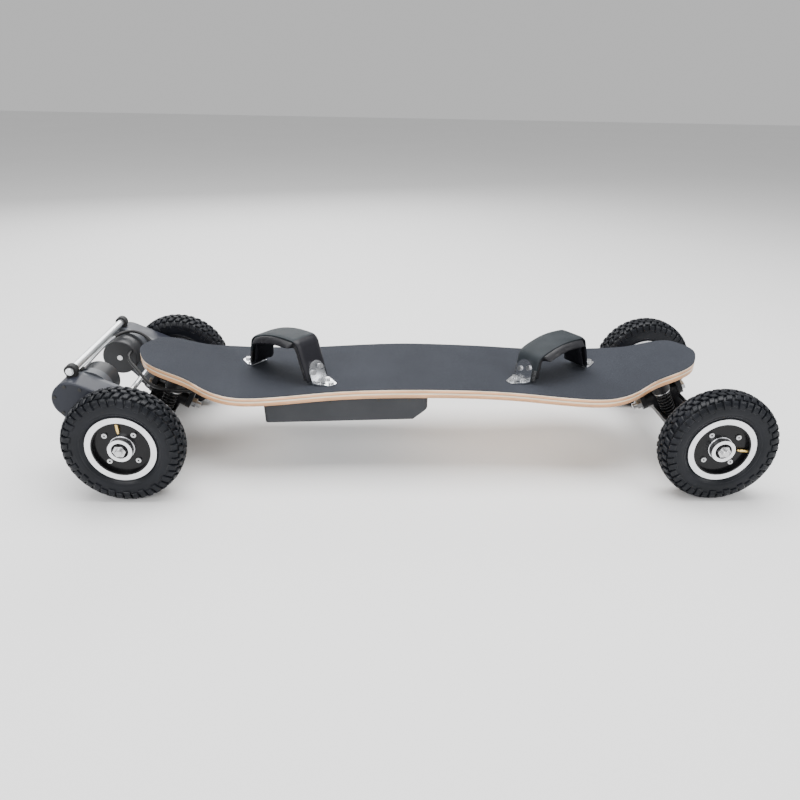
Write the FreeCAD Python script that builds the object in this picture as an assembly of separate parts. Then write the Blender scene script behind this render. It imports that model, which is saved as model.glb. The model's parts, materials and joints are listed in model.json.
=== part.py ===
import FreeCAD, Part
import math
import os

V = FreeCAD.Vector

# An off-road electric skateboard, in millimetres.
# +X points to the front of the board, +Y to its left, +Z up. The ground is z = 0.
# Everything is laid out about the middle of the wheelbase, and save() moves it so that
# the origin is the middle of the whole object's footprint.

# ---- driving dimensions: running gear -------------------------------------------------
wheelbase = 1005.0
wheel_plane_y = 186.0          # from the centreline to a wheel's middle plane
tyre_r = 100.0
tyre_half_width = 25.0
bead_r = 50.0                  # bore of the tyre, outside of the rim's barrel
bead_half_width = 17.8
rim_flange_r = 58.0
rim_flange_t = 2.5
rim_barrel_t = 4.0
web_inner = 7.0                # the dish of each rim half, from the wheel's middle plane
web_outer = 13.0
hub_boss_r = 20.0
hub_boss_out = 25.0
hub_boss_in = 18.0
bearing_r = 14.0
bearing_width = 8.0
bearing_recess = 6.0
axle_r = 6.0
axle_tube_r = 9.5
axle_end_past_plane = 35.0
axle_nut_af = 19.0
axle_nut_t = 9.0
rim_bolt_circle_r = 33.5
rim_bolt_r = 2.5
valve_r = 2.8

# ---- driving dimensions: deck ---------------------------------------------------------
deck_centre_top = 168.5        # top of the grip at mid length
deck_half_length = 518.0
grip_t = 1.0
ply_t = 15.5
crown_half = 200.0             # half length of the long, slightly arched middle
crown_r = 2350.0
dip_r = 1300.0
rise_r = 300.0
nose_angle = 17.5              # slope of the straight nose and tail, in degrees
tip_angle = 6.0
tip_r = 150.0
nose_flat = 90.0               # length of the straight stretch that carries a truck
waist_half = 112.5
shoulder_half = 123.0
shoulder_x = 303.0
neck_half = 77.0
neck_x = 462.0

# ---- driving dimensions: trucks -------------------------------------------------------
pivot_slope = 28.5             # the steering axis rises outboard at this angle
pivot_offset = 22.0            # steering axis above the axle, square to itself
pivot_bolt_r = 6.0
arm_inboard = 43.0             # channel arm, along the steering axis from the axle
arm_outboard = 13.0
arm_bottom = 10.6
arm_top = 7.6
arm_floor_t = 6.0
arm_wall_t = 4.0
front_arm_y = 150.0
barrel_inboard = 52.8
barrel_outboard = 8.8
barrel_r = 13.0
ear_t = 9.0
spring_p = -24.0
spring_y = 32.0
spring_mean_r = 11.9
spring_wire_r = 1.7
spring_turns = 8
seat_r = 15.5
seat_t = 3.0
seat_q = 50.0                  # underside of the baseplate's wings, above the axle
wing_r = 17.0
flange_t = 7.0
flange_half_y = 38.0
truck_bolt_r = 2.5
truck_bolt_spacing = 63.5
truck_bolt_across = 41.3

# ---- driving dimensions: rear drive ---------------------------------------------------
motor_back = 76.5              # motor shaft behind the rear axle
motor_up = 60.0
motor_can_r = 33.0
motor_can_t = 2.5
motor_inner_y = 48.0
motor_cap_t = 4.0
shaft_r = 5.0
rotor_r = 22.0
air_gap = 0.5
plate_y = 108.0
plate_t = 8.0
cover_back = 87.5
cover_up = 64.0
cover_r = 33.0
cover_axle_r = 56.0
cover_outer_y = 156.5
cover_wall = 2.5
cover_fillet = 4.0
cover_screw_inset = 6.0
cover_screw_r = 1.5
cover_post_r = cover_screw_inset - cover_wall + 0.8
belt_y = 143.0
belt_width = 15.0
belt_t = 3.0
belt_pitch = 5.0
motor_teeth = 16
wheel_teeth = 60
pitch_line_gap = 1.5           # pulley surface inside its pitch line
pulley_hub_r = 40.0
pulley_bore_r = 27.0
tube_back = 91.5
tube_z = 207.0
tube_r = 6.5
tube_half = 134.0
clamp_y = 125.0
clamp_width = 12.0
clamp_t = 4.0
brace_back = 27.5
brace_z = 135.0
brace_r = 5.0
lead_r = 3.0

# ---- driving dimensions: battery box --------------------------------------------------
box_rear_x = -287.0
box_front_x = 8.0
box_half_y = 104.0
box_wall = 3.0
box_rear_z = 98.0
box_front_z = 106.0
box_toe = 26.0                 # length of the sloping front lower edge
box_toe_z = 127.0
cleat_w = 10.0
cleat_h = 14.0
cell_r = 9.2
cell_rows = 10
cell_pitch = 19.4
pack_half_y = 84.0

# ---- driving dimensions: bindings -----------------------------------------------------
strap_width = 56.0
strap_end_width = 52.0
shell_t = 4.0
pad_t = 12.0
pad_top_t = 4.0                # the pad's narrower upper layer
pad_top_width = 68.0
pad_width = 80.0
strap_base_z = 158.5
bracket_t = 2.5
bracket_width = 38.0
bracket_tab = 34.0
bracket_foot = 36.0
binding_bolt_r = 3.0

# ---- named clearances -----------------------------------------------------------------
run = 0.05                     # radial clearance of a turning or sliding fit
gap = 0.3                      # between faces of bodies that move past each other
bolt_gap = 0.1                 # hole over bolt

axle_x = wheelbase / 2
axle_z = tyre_r
motor_x = -axle_x - motor_back
motor_z = axle_z + motor_up
cover_x = -axle_x - cover_back
cover_z = axle_z + cover_up
tube_x = -axle_x - tube_back
brace_x = -axle_x - brace_back
rear_reach = -cover_x + cover_r
front_reach = axle_x + tyre_r
origin_shift = (rear_reach - front_reach) / 2
motor_pulley_r = motor_teeth * belt_pitch / (2 * math.pi) - pitch_line_gap
wheel_pulley_r = wheel_teeth * belt_pitch / (2 * math.pi) - pitch_line_gap
deck_t = grip_t + ply_t


# ---- small shape helpers --------------------------------------------------------------
def save(node, shape):
    moved = shape.copy()
    moved.translate(V(origin_shift, 0, 0))
    moved.exportStep("parts/" + node + ".step")


def group(shapes):
    return Part.makeCompound(shapes)


def box(x0, x1, y0, y1, z0, z1):
    return Part.makeBox(x1 - x0, y1 - y0, z1 - z0, V(x0, y0, z0))


def rod_y(r, y0, y1, x, z):
    return Part.makeCylinder(r, y1 - y0, V(x, y0, z), V(0, 1, 0))


def ring_y(r_out, r_in, y0, y1, x, z):
    return rod_y(r_out, y0, y1, x, z).cut(rod_y(r_in, y0 - 1, y1 + 1, x, z))


def rod_x(r, x0, x1, y, z):
    return Part.makeCylinder(r, x1 - x0, V(x0, y, z), V(1, 0, 0))


def rod_z(r, z0, z1, x, y):
    return Part.makeCylinder(r, z1 - z0, V(x, y, z0), V(0, 0, 1))


def fuse(shapes):
    return shapes[0].multiFuse(shapes[1:]).removeSplitter()


def face_of(points):
    closed = points + [points[0]]
    return Part.Face(Part.makePolygon(closed))


def prism_y(points_xz, y0, y1):
    face = face_of([V(x, y0, z) for x, z in points_xz])
    return face.extrude(V(0, y1 - y0, 0))


def hex_bar(across_flats, length, base, direction):
    r = across_flats / math.sqrt(3)
    corners = [V(r * math.cos(a), r * math.sin(a), 0) for a in [i * math.pi / 3 for i in range(6)]]
    bar = face_of(corners).extrude(V(0, 0, length))
    turn = FreeCAD.Rotation(V(0, 0, 1), direction)
    bar.Placement = FreeCAD.Placement(base, turn)
    return bar


def mirror_y(shape):
    return shape.mirror(V(0, 0, 0), V(0, 1, 0))


def mirror_x(shape):
    return shape.mirror(V(0, 0, 0), V(1, 0, 0))


def hull_of_circles(x0, z0, r0, x1, z1, r1):
    """The outline of a belt round two circles: two tangent lines and two arcs."""
    dx, dz = x1 - x0, z1 - z0
    length = math.hypot(dx, dz)
    heading = math.atan2(dz, dx)
    spread = math.acos((r0 - r1) / length)

    def on(cx, cz, r, angle):
        return V(cx + r * math.cos(angle), 0, cz + r * math.sin(angle))

    a0 = on(x0, z0, r0, heading + spread)
    a1 = on(x1, z1, r1, heading + spread)
    b1 = on(x1, z1, r1, heading - spread)
    b0 = on(x0, z0, r0, heading - spread)
    far1 = on(x1, z1, r1, heading)
    far0 = on(x0, z0, r0, heading + math.pi)
    edges = [
        Part.LineSegment(a0, a1).toShape(),
        Part.Arc(a1, far1, b1).toShape(),
        Part.LineSegment(b1, b0).toShape(),
        Part.Arc(b0, far0, a0).toShape(),
    ]
    return Part.Face(Part.Wire(edges))


def hull_y(x0, z0, r0, x1, z1, r1, y0, y1):
    face = hull_of_circles(x0, z0, r0, x1, z1, r1)
    face.translate(V(0, y0, 0))
    return face.extrude(V(0, y1 - y0, 0))


# ---- deck -----------------------------------------------------------------------------
def deck_chain():
    """The deck's side line from tail to nose, as (kind, amount, radius) tangent pieces."""
    crown_turn = 2 * math.degrees(math.asin(crown_half / crown_r))
    dip_turn = crown_turn / 2
    steep = nose_angle - tip_angle
    half = [("arc", -steep, tip_r), ("line", nose_flat, 0), ("arc", nose_angle, rise_r), ("arc", dip_turn, dip_r)]
    back = [("arc", dip_turn, dip_r), ("arc", nose_angle, rise_r), ("line", nose_flat, 0), ("arc", -steep, tip_r)]
    return half + [("arc", -crown_turn, crown_r)] + back


def walk(depth, overhang):
    """Points of the side line at a depth under the deck's top, from tail to nose.

    Returns (kind, start, middle, end) pieces as (x, z) pairs. overhang lengthens both ends.
    """
    def trace(x, z):
        heading = -math.radians(tip_angle)
        out = []
        points = [(x, z, heading)]
        for kind, amount, radius in deck_chain():
            if kind == "line":
                nx = x + amount * math.cos(heading)
                nz = z + amount * math.sin(heading)
                out.append((kind, (x, z, heading), None, (nx, nz, heading)))
                x, z = nx, nz
            else:
                side = 1 if amount > 0 else -1
                turn = math.radians(amount)
                cx = x - side * radius * math.sin(heading)
                cz = z + side * radius * math.cos(heading)

                def at(h):
                    return (cx + side * radius * math.sin(h), cz - side * radius * math.cos(h), h)

                out.append((kind, (x, z, heading), at(heading + turn / 2), at(heading + turn)))
                x, z, heading = at(heading + turn)
            points.append((x, z, heading))
        return out, points

    first, points = trace(0.0, 0.0)
    mid_x = points[-1][0] / 2
    crown = first[4][2]
    pieces, points = trace(-mid_x, deck_centre_top - crown[1])

    def sink(p):
        x, z, h = p
        return (x + depth * math.sin(h), z - depth * math.cos(h))

    sunk = [(k, sink(a), sink(m) if m else None, sink(b)) for k, a, m, b in pieces]
    tail, nose = sunk[0][1], sunk[-1][3]
    run_out = overhang / math.cos(math.radians(tip_angle))
    rise = run_out * math.sin(math.radians(tip_angle))
    before = ("line", (tail[0] - overhang, tail[1] + rise), None, tail)
    after = ("line", nose, None, (nose[0] + overhang, nose[1] + rise))
    return [before] + sunk + [after]


def edges_of(pieces, y):
    out = []
    for kind, a, m, b in pieces:
        start, end = V(a[0], y, a[1]), V(b[0], y, b[1])
        if kind == "line":
            out.append(Part.LineSegment(start, end).toShape())
        else:
            out.append(Part.Arc(start, V(m[0], y, m[1]), end).toShape())
    return out


end_overhang = 60.0


def slab(top_depth, bottom_depth, half_y):
    """A layer that follows the deck's side line between two depths."""
    upper = walk(top_depth, end_overhang)
    lower = walk(bottom_depth, end_overhang)
    edges = edges_of(upper, -half_y) + edges_of(lower, -half_y)
    u0, u1 = upper[0][1], upper[-1][3]
    l0, l1 = lower[0][1], lower[-1][3]
    edges.append(Part.LineSegment(V(u0[0], -half_y, u0[1]), V(l0[0], -half_y, l0[1])).toShape())
    edges.append(Part.LineSegment(V(u1[0], -half_y, u1[1]), V(l1[0], -half_y, l1[1])).toShape())
    wire = Part.Wire(Part.__sortEdges__(edges))
    return Part.Face(wire).extrude(V(0, 2 * half_y, 0))


def region_below(depth, floor_z, half_y):
    """Everything between a depth under the deck's top and a level far below."""
    upper = walk(depth, end_overhang)
    edges = edges_of(upper, -half_y)
    u0, u1 = upper[0][1], upper[-1][3]
    low0, low1 = V(u0[0], -half_y, floor_z), V(u1[0], -half_y, floor_z)
    edges.append(Part.LineSegment(V(u1[0], -half_y, u1[1]), low1).toShape())
    edges.append(Part.LineSegment(low1, low0).toShape())
    edges.append(Part.LineSegment(low0, V(u0[0], -half_y, u0[1])).toShape())
    wire = Part.Wire(Part.__sortEdges__(edges))
    return Part.Face(wire).extrude(V(0, 2 * half_y, 0))


def plan_outline(z0, z1):
    """The deck seen from above: waisted, broad over the feet, necked at the trucks, round tips."""
    tip_shoulder_x = deck_half_length - 12.0
    quarter = [
        (0.0, waist_half + 1.0),
        (150.0, waist_half),
        (235.0, waist_half + 4.5),
        (shoulder_x, shoulder_half),
        (350.0, shoulder_half - 4.0),
        (386.0, shoulder_half - 18.0),
        (422.0, neck_half + 8.5),
        (neck_x, neck_half),
        (493.0, neck_half - 15.0),
        (tip_shoulder_x, neck_half - 36.0),
        (deck_half_length, 0.0),
    ]
    front_left = quarter
    front_right = [(x, -y) for x, y in reversed(quarter[1:-1])]
    right = [(x, -y) for x, y in quarter[:1]]
    rear_right = [(-x, -y) for x, y in quarter[1:-1]]
    rear_left = [(-x, y) for x, y in reversed(quarter[1:])]
    loop = front_left + front_right + right + rear_right + rear_left
    curve = Part.BSplineCurve()
    curve.interpolate(Points=[V(x, y, z0) for x, y in loop], PeriodicFlag=True)
    return Part.Face(Part.Wire([curve.toShape()])).extrude(V(0, 0, z1 - z0))


def nose_frame():
    """Placement with x along the straight nose's underside, z square to it, origin at its start."""
    pieces = walk(deck_t, 0.0)
    line = [p for p in pieces if p[0] == "line"][-2]
    start = line[1]
    turn = FreeCAD.Rotation(V(0, 1, 0), -nose_angle)
    return FreeCAD.Placement(V(start[0], 0, start[1]), turn)


def on_nose(shape):
    placed = shape.copy()
    placed.Placement = nose_frame().multiply(placed.Placement)
    return placed


def in_truck(shape):
    """From the front truck's own frame (x along the steering axis, outboard) to the board's."""
    placed = shape.copy()
    turn = FreeCAD.Rotation(V(0, 1, 0), -pivot_slope)
    placed.Placement = FreeCAD.Placement(V(axle_x, 0, axle_z), turn).multiply(placed.Placement)
    return placed


def deck_top_z(x):
    column = Part.LineSegment(V(x, 0, 0), V(x, 0, 400)).toShape()
    hit = column.common(region_below(0.0, 0.0, 1.0))
    return hit.BoundBox.ZMax


flange_mid = 45.0              # along the nose's straight underside


def truck_bolt_places():
    half_s, half_y = truck_bolt_spacing / 2, truck_bolt_across / 2
    return [(flange_mid + i * half_s, j * half_y) for i in (-1, 1) for j in (-1, 1)]


head_r, head_t = 4.75, 3.0
nut_af, nut_t = 8.0, 4.0
bolt_tail = 2.0


def truck_bolts():
    solids = []
    for s, y in truck_bolt_places():
        head = rod_z(head_r, ply_t - head_t, ply_t, s, y)
        shank = rod_z(truck_bolt_r, -flange_t - nut_t - bolt_tail, ply_t - head_t, s, y)
        nut = hex_bar(nut_af, nut_t, V(s, y, -flange_t - nut_t), V(0, 0, 1))
        nut = nut.cut(rod_z(truck_bolt_r, -60, 0, s, y))
        solids += [on_nose(head.fuse(shank).removeSplitter()), on_nose(nut)]
    return solids + [mirror_x(s) for s in solids]


def truck_bolt_holes():
    cuts = []
    for s, y in truck_bolt_places():
        cuts.append(on_nose(rod_z(truck_bolt_r + bolt_gap, -60, ply_t, s, y)))
        cuts.append(on_nose(rod_z(head_r + bolt_gap, ply_t - head_t, ply_t, s, y)))
    return cuts + [mirror_x(c) for c in cuts]


# ---- bindings -------------------------------------------------------------------------
rear_binding = {"start": (-308.7, 32.6), "toward": (152.0, -120.0), "rise": 44.0}
front_binding = {"start": (186.7, -51.9), "toward": (159.0, 105.0), "rise": 34.0}


def binding_place(binding):
    """Placement whose x runs from a strap's gently sloping end to its steep end."""
    heading = math.atan2(binding["toward"][1], binding["toward"][0])
    turn = FreeCAD.Rotation(V(0, 0, 1), math.degrees(heading))
    start = binding["start"]
    return FreeCAD.Placement(V(start[0], start[1], strap_base_z), turn)


strap_start_h = 8.0
tab_heading = 80.0
steep_heading = 72.0
shoulder_turn, shoulder_r = 56.0, 20.0
arch_turn, arch_r = 26.0, 185.0
arch_flat = 15.0
knee_r = 20.0


def strap_pieces(binding):
    """Lines and arcs of a strap's side line; it ends at the height that it starts from."""
    first = math.radians(tab_heading)
    second = first - math.radians(shoulder_turn)
    third = second - math.radians(arch_turn)
    last = -math.radians(steep_heading)
    knee_turn = math.degrees(third - last)
    climb = binding["rise"] * math.sin(first) + shoulder_r * (math.cos(second) - math.cos(first))
    climb += arch_r * (math.cos(third) - math.cos(second)) + arch_flat * math.sin(third)
    climb += knee_r * (math.cos(last) - math.cos(third))
    return [
        ("line", binding["rise"], 0),
        ("arc", -shoulder_turn, shoulder_r),
        ("arc", -arch_turn, arch_r),
        ("line", arch_flat, 0),
        ("arc", -knee_turn, knee_r),
        ("line", climb / math.sin(-last), 0),
    ]


def strap_line(depth, binding):
    """The strap's side line, a depth inside its outer face, as edges in the x-z plane."""
    x, z, heading = 0.0, strap_start_h, math.radians(tab_heading)
    out = []
    for kind, amount, radius in strap_pieces(binding):
        if kind == "line":
            nx, nz = x + amount * math.cos(heading), z + amount * math.sin(heading)
            out.append((kind, (x, z, heading), None, (nx, nz, heading)))
            x, z = nx, nz
        else:
            turn = math.radians(amount)
            cx = x + radius * math.sin(heading)
            cz = z - radius * math.cos(heading)

            def at(h):
                return (cx - radius * math.sin(h), cz + radius * math.cos(h), h)

            out.append((kind, (x, z, heading), at(heading + turn / 2), at(heading + turn)))
            x, z, heading = at(heading + turn)

    def sink(p):
        px, pz, h = p
        return (px + depth * math.sin(h), pz - depth * math.cos(h))

    return [(k, sink(a), sink(m) if m else None, sink(b)) for k, a, m, b in out]


def strap_span(binding):
    return strap_line(0.0, binding)[-1][3][0]


def strap_layer(outer_depth, inner_depth, width, binding):
    upper, lower = strap_line(outer_depth, binding), strap_line(inner_depth, binding)
    y = -width / 2
    edges = edges_of(upper, y) + edges_of(lower, y)
    for u, l in ((upper[0][1], lower[0][1]), (upper[-1][3], lower[-1][3])):
        edges.append(Part.LineSegment(V(u[0], y, u[1]), V(l[0], y, l[1])).toShape())
    wire = Part.Wire(Part.__sortEdges__(edges))
    return Part.Face(wire).extrude(V(0, width, 0))


def strap_plan(width, end_width, span):
    """The strap seen from above: broad over the foot, narrower at both brackets."""
    w, e = width / 2, end_width / 2
    x0, x1 = -20.0, span + 20.0
    ease = (w - e) * 0.12
    top = [V(x0, e, -50), V(span * 0.15, e + 1.0, -50), V(span * 0.4, w - ease, -50)]
    top += [V(span * 0.62, w, -50), V(span * 0.83, w - ease, -50), V(x1, e + 3.0, -50)]
    upper = Part.BSplineCurve()
    upper.interpolate(Points=top)
    lower = Part.BSplineCurve()
    lower.interpolate(Points=[V(p.x, -p.y, p.z) for p in top])
    ends = [Part.LineSegment(top[0], V(x0, -e, -50)), Part.LineSegment(top[-1], V(x1, -e - 3.0, -50))]
    edges = [upper.toShape(), lower.toShape()] + [e.toShape() for e in ends]
    return Part.Face(Part.Wire(Part.__sortEdges__(edges))).extrude(V(0, 0, 200))


def end_frames(binding):
    """For both strap ends: a placement with x out of the strap's face and z up along it."""
    line = strap_line(0.0, binding)
    out = []
    for (x, z), lean, side in ((line[0][1], tab_heading, -1), (line[-1][3], steep_heading, 1)):
        turn = FreeCAD.Rotation(V(0, 1, 0), -side * (90.0 - lean))
        if side < 0:
            turn = turn.multiply(FreeCAD.Rotation(V(0, 0, 1), 180))
        out.append((FreeCAD.Placement(V(x, 0, z), turn), side, x))
    return out


tab_screw_z = 14.0
tab_screw_y = 10.0
tab_screw_r = 2.5
tab_head_r, tab_head_t = 4.6, 3.0


def tab_screw_places():
    return [(-tab_screw_y, tab_screw_z), (tab_screw_y, tab_screw_z + 7.0)]


def binding_hole_tools(place, binding):
    """Cylinders that clear the screws through a tab, the strap and its pad."""
    tools = []
    for frame, side, _ in end_frames(binding):
        for y, z in tab_screw_places():
            tool = rod_x(tab_screw_r + bolt_gap, -shell_t - pad_t - 2, bracket_t + 2, y, z)
            tool.Placement = place.multiply(frame).multiply(tool.Placement)
            tools.append(tool)
    return tools


def strap_parts(binding):
    """The firm shell, and the pad under it in two layers, the lower one broader."""
    place = binding_place(binding)
    span = strap_span(binding)
    reach = pad_width + 20
    plan = strap_plan(strap_width, strap_end_width, span)
    shell = strap_layer(0.0, shell_t, reach, binding).common(plan)
    top_plan = strap_plan(pad_top_width, strap_end_width + 6, span)
    low_plan = strap_plan(pad_width, strap_end_width + 10, span)
    top = strap_layer(shell_t, shell_t + pad_top_t, reach, binding).common(top_plan)
    low = strap_layer(shell_t + pad_top_t, shell_t + pad_t, reach, binding).common(low_plan)
    pad = top.fuse(low).removeSplitter()
    parts = []
    for shape in (shell, pad):
        shape.Placement = place.multiply(shape.Placement)
        parts.append(shape.cut(group(binding_hole_tools(place, binding))))
    return parts


foot_bolt_places = [(10.0, -11.0), (10.0, 11.0), (29.0, 0.0)]


def bracket(frame):
    """One bent plate: a round-topped tab against the strap, and a pierced foot on the deck."""
    half = bracket_width / 2
    tab = box(0, bracket_t, -half, half, -16.0, bracket_tab - half * 0.7)
    tab = tab.fuse(rod_x(half, 0, bracket_t, 0, bracket_tab - half))
    for y, z in tab_screw_places():
        tab = tab.cut(rod_x(tab_screw_r + bolt_gap, -1, bracket_t + 1, y, z))
    tab.Placement = frame.multiply(tab.Placement)
    outline = [
        V(-2.0, -half, 0),
        V(10.0, -half, 0),
        V(bracket_foot, -8.0, 0),
        V(bracket_foot, 8.0, 0),
        V(10.0, half, 0),
        V(-2.0, half, 0),
    ]
    foot = face_of(outline).extrude(V(0, 0, bracket_t))
    upright = [e for e in foot.Edges if abs(e.BoundBox.ZLength - bracket_t) < 0.01 and e.BoundBox.XMin > 5]
    foot = foot.makeFillet(6.0, upright)
    for sign in (-1, 1):
        window = face_of([V(16.0, sign * 4.0, -5), V(25.5, sign * 5.5, -5), V(16.0, sign * 10.0, -5)])
        foot = foot.cut(window.extrude(V(0, 0, 15)))
    return tab, foot


def bracket_base_z(place, side, x):
    """Height of the deck's top under a bracket's foot, in the strap's own frame."""
    middle = place.multVec(V(x + side * bracket_foot / 2, 0, 0))
    return deck_top_z(middle.x) - strap_base_z


def foot_frame(side, tab_foot_x, base):
    """Placement of a bracket's foot: x outward from the tab, resting on the deck."""
    turn = FreeCAD.Rotation(V(0, 0, 1), 0 if side > 0 else 180)
    return FreeCAD.Placement(V(tab_foot_x, 0, base), turn)


def brackets_and_bolts(binding, deck_body):
    place = binding_place(binding)
    plates, bolts, holes = [], [], []
    for frame, side, x in end_frames(binding):
        base = bracket_base_z(place, side, x)
        tab, foot = bracket(frame)
        lean = math.radians(90 - (tab_heading if side < 0 else steep_heading))
        reach = x + side * math.tan(lean) * (strap_start_h - base)
        stand = foot_frame(side, reach, base)
        foot.Placement = stand.multiply(foot.Placement)
        plate = tab.fuse(foot)
        plate.Placement = place.multiply(plate.Placement)
        plate = plate.cut(deck_body)
        for bx, by in foot_bolt_places:
            head = rod_z(5.0, bracket_t, bracket_t + 3.2, bx, by)
            shank = rod_z(binding_bolt_r, -deck_t - 6.0, bracket_t, bx, by)
            bolt = head.fuse(shank).removeSplitter()
            hole = rod_z(binding_bolt_r + bolt_gap, -60, bracket_t + 1, bx, by)
            nut = hex_bar(10.0, 5.0, V(bx, by, -deck_t - 5.5), V(0, 0, 1))
            nut = nut.cut(rod_z(binding_bolt_r, -60, 60, bx, by))
            for s in (bolt, hole, nut):
                s.Placement = place.multiply(stand).multiply(s.Placement)
            bolts += [bolt, nut]
            holes.append(hole)
            plate = plate.cut(hole)
        for y, z in tab_screw_places():
            head = rod_x(tab_head_r, bracket_t, bracket_t + tab_head_t, y, z)
            shank = rod_x(tab_screw_r, -shell_t - pad_t * 0.5, bracket_t, y, z)
            screw = head.fuse(shank).removeSplitter()
            screw.Placement = place.multiply(frame).multiply(screw.Placement)
            bolts.append(screw)
        plates.append(plate)
    return plates, bolts, holes


# ---- trucks ---------------------------------------------------------------------------
def baseplate(above_underside):
    """Cast wedge between the deck and the steering axis, with two ears for the pivot bolt."""
    inner = -barrel_inboard - gap
    outer = barrel_outboard + gap
    top = 130.0
    spine = box(inner - ear_t, outer + ear_t, -14, 14, seat_q, top)
    ears = []
    for p0 in (inner - ear_t, outer):
        ears.append(box(p0, p0 + ear_t, -14, 14, pivot_offset, seat_q + 1))
        ears.append(rod_x(14, p0, p0 + ear_t, 0, pivot_offset))
    wings = [rod_z(wing_r, seat_q, top, spring_p, side * spring_y) for side in (-1, 1)]
    bridge = box(spring_p - 9, spring_p + 9, -spring_y, spring_y, seat_q, top)
    body = fuse([spine, bridge] + ears + wings)
    body = body.cut(rod_x(pivot_bolt_r, -200, 200, 0, pivot_offset))
    body = in_truck(body).cut(above_underside)
    flange = box(1.5, 88.5, -flange_half_y, flange_half_y, -flange_t, 0)
    upright = [e for e in flange.Edges if abs(e.BoundBox.ZLength - flange_t) < 0.01]
    flange = on_nose(flange.makeFillet(10.0, upright))
    body = body.fuse(flange)
    for s, y in truck_bolt_places():
        body = body.cut(on_nose(rod_z(truck_bolt_r + bolt_gap, -60, 5, s, y)))
        body = body.cut(on_nose(rod_z(nut_af * 0.62, -60, -flange_t, s, y)))
    return body.removeSplitter()


bolt_head_t = 7.0
bolt_end = 8.0


def pivot_bolt():
    """Through bolt that the hanger steers on, with its nut on the inboard end."""
    inner = -barrel_inboard - gap - ear_t
    outer = barrel_outboard + gap + ear_t
    nut_len = 9.0
    shank = rod_x(pivot_bolt_r, inner - nut_len - bolt_end, outer, 0, pivot_offset)
    head = hex_bar(17.0, bolt_head_t, V(outer, 0, pivot_offset), V(1, 0, 0))
    bolt = fuse([shank, head])
    nut = hex_bar(17.0, nut_len, V(inner - nut_len, 0, pivot_offset), V(1, 0, 0))
    nut = nut.cut(rod_x(pivot_bolt_r, inner - 40, inner + 1, 0, pivot_offset))
    return [in_truck(bolt), in_truck(nut)]


def spring_seats():
    seats = []
    for side in (-1, 1):
        seat = rod_z(seat_r, seat_q - seat_t, seat_q, spring_p, side * spring_y)
        seats.append(in_truck(seat.cut(rod_z(5.0, 0, 90, spring_p, side * spring_y))))
    return seats


def spring(side):
    floor_q = arm_floor_t - arm_bottom
    low = floor_q + spring_wire_r + 0.02
    high = seat_q - seat_t - gap - spring_wire_r
    pitch = (high - low) / spring_turns
    helix = Part.makeHelix(pitch, high - low, spring_mean_r)
    disc = Part.Wire([Part.makeCircle(spring_wire_r, V(spring_mean_r, 0, 0), V(0, 1, pitch / 75.0))])
    coil = Part.Wire(helix.Edges).makePipeShell([disc], True, True)
    coil.translate(V(spring_p, side * spring_y, low))
    return in_truck(coil)


def hanger(arm_y, tube_y):
    """Channel-section arms with the axle tube through them, and the steering barrel on top."""
    outer = box(-arm_inboard, arm_outboard, -arm_y, arm_y, -arm_bottom, arm_top)
    hollow = box(
        -arm_inboard + arm_wall_t,
        arm_outboard - arm_wall_t,
        -arm_y - 1,
        arm_y + 1,
        -arm_bottom + arm_floor_t,
        arm_top + 1,
    )
    channel = outer.cut(hollow)
    tube = rod_y(axle_tube_r, -tube_y, tube_y, 0, 0)
    barrel = rod_x(barrel_r, -barrel_inboard, barrel_outboard, 0, pivot_offset)
    post = box(-arm_inboard, barrel_outboard, -11, 11, -arm_bottom, pivot_offset)
    ribs = []
    for y in (60.0, 100.0):
        for side in (-1, 1):
            rib = box(-arm_inboard, arm_outboard, side * y - 2, side * y + 2, -arm_bottom, arm_top - 2)
            ribs.append(rib)
    body = fuse([channel, tube, barrel, post] + ribs)
    body = body.cut(rod_x(pivot_bolt_r + run, -200, 200, 0, pivot_offset))
    body = body.cut(rod_y(axle_r, -tube_y - 5, tube_y + 5, 0, 0))
    return in_truck(body.removeSplitter())


def axle():
    end = wheel_plane_y + axle_end_past_plane
    bar = rod_y(axle_r, -end, end, axle_x, axle_z)
    return bar.makeChamfer(1.0, [e for e in bar.Edges if e.Length < 40])


def axle_nuts():
    nuts = []
    start = wheel_plane_y + hub_boss_out - bearing_recess + gap
    nut = hex_bar(axle_nut_af, axle_nut_t, V(axle_x, start, axle_z), V(0, 1, 0))
    nut = nut.cut(rod_y(axle_r, start - 1, start + axle_nut_t + 1, axle_x, axle_z))
    nuts += [nut, mirror_y(nut)]
    return nuts


# ---- wheels: built on the +Y side at x = z = 0, outboard = +Y --------------------------
def spin_y(profile_rw):
    """Full turn of a radius-offset outline about the wheel's own axis."""
    face = face_of([V(r, w, 0) for r, w in profile_rw])
    return face.revolve(V(0, 0, 0), V(0, 1, 0), 360)


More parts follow.
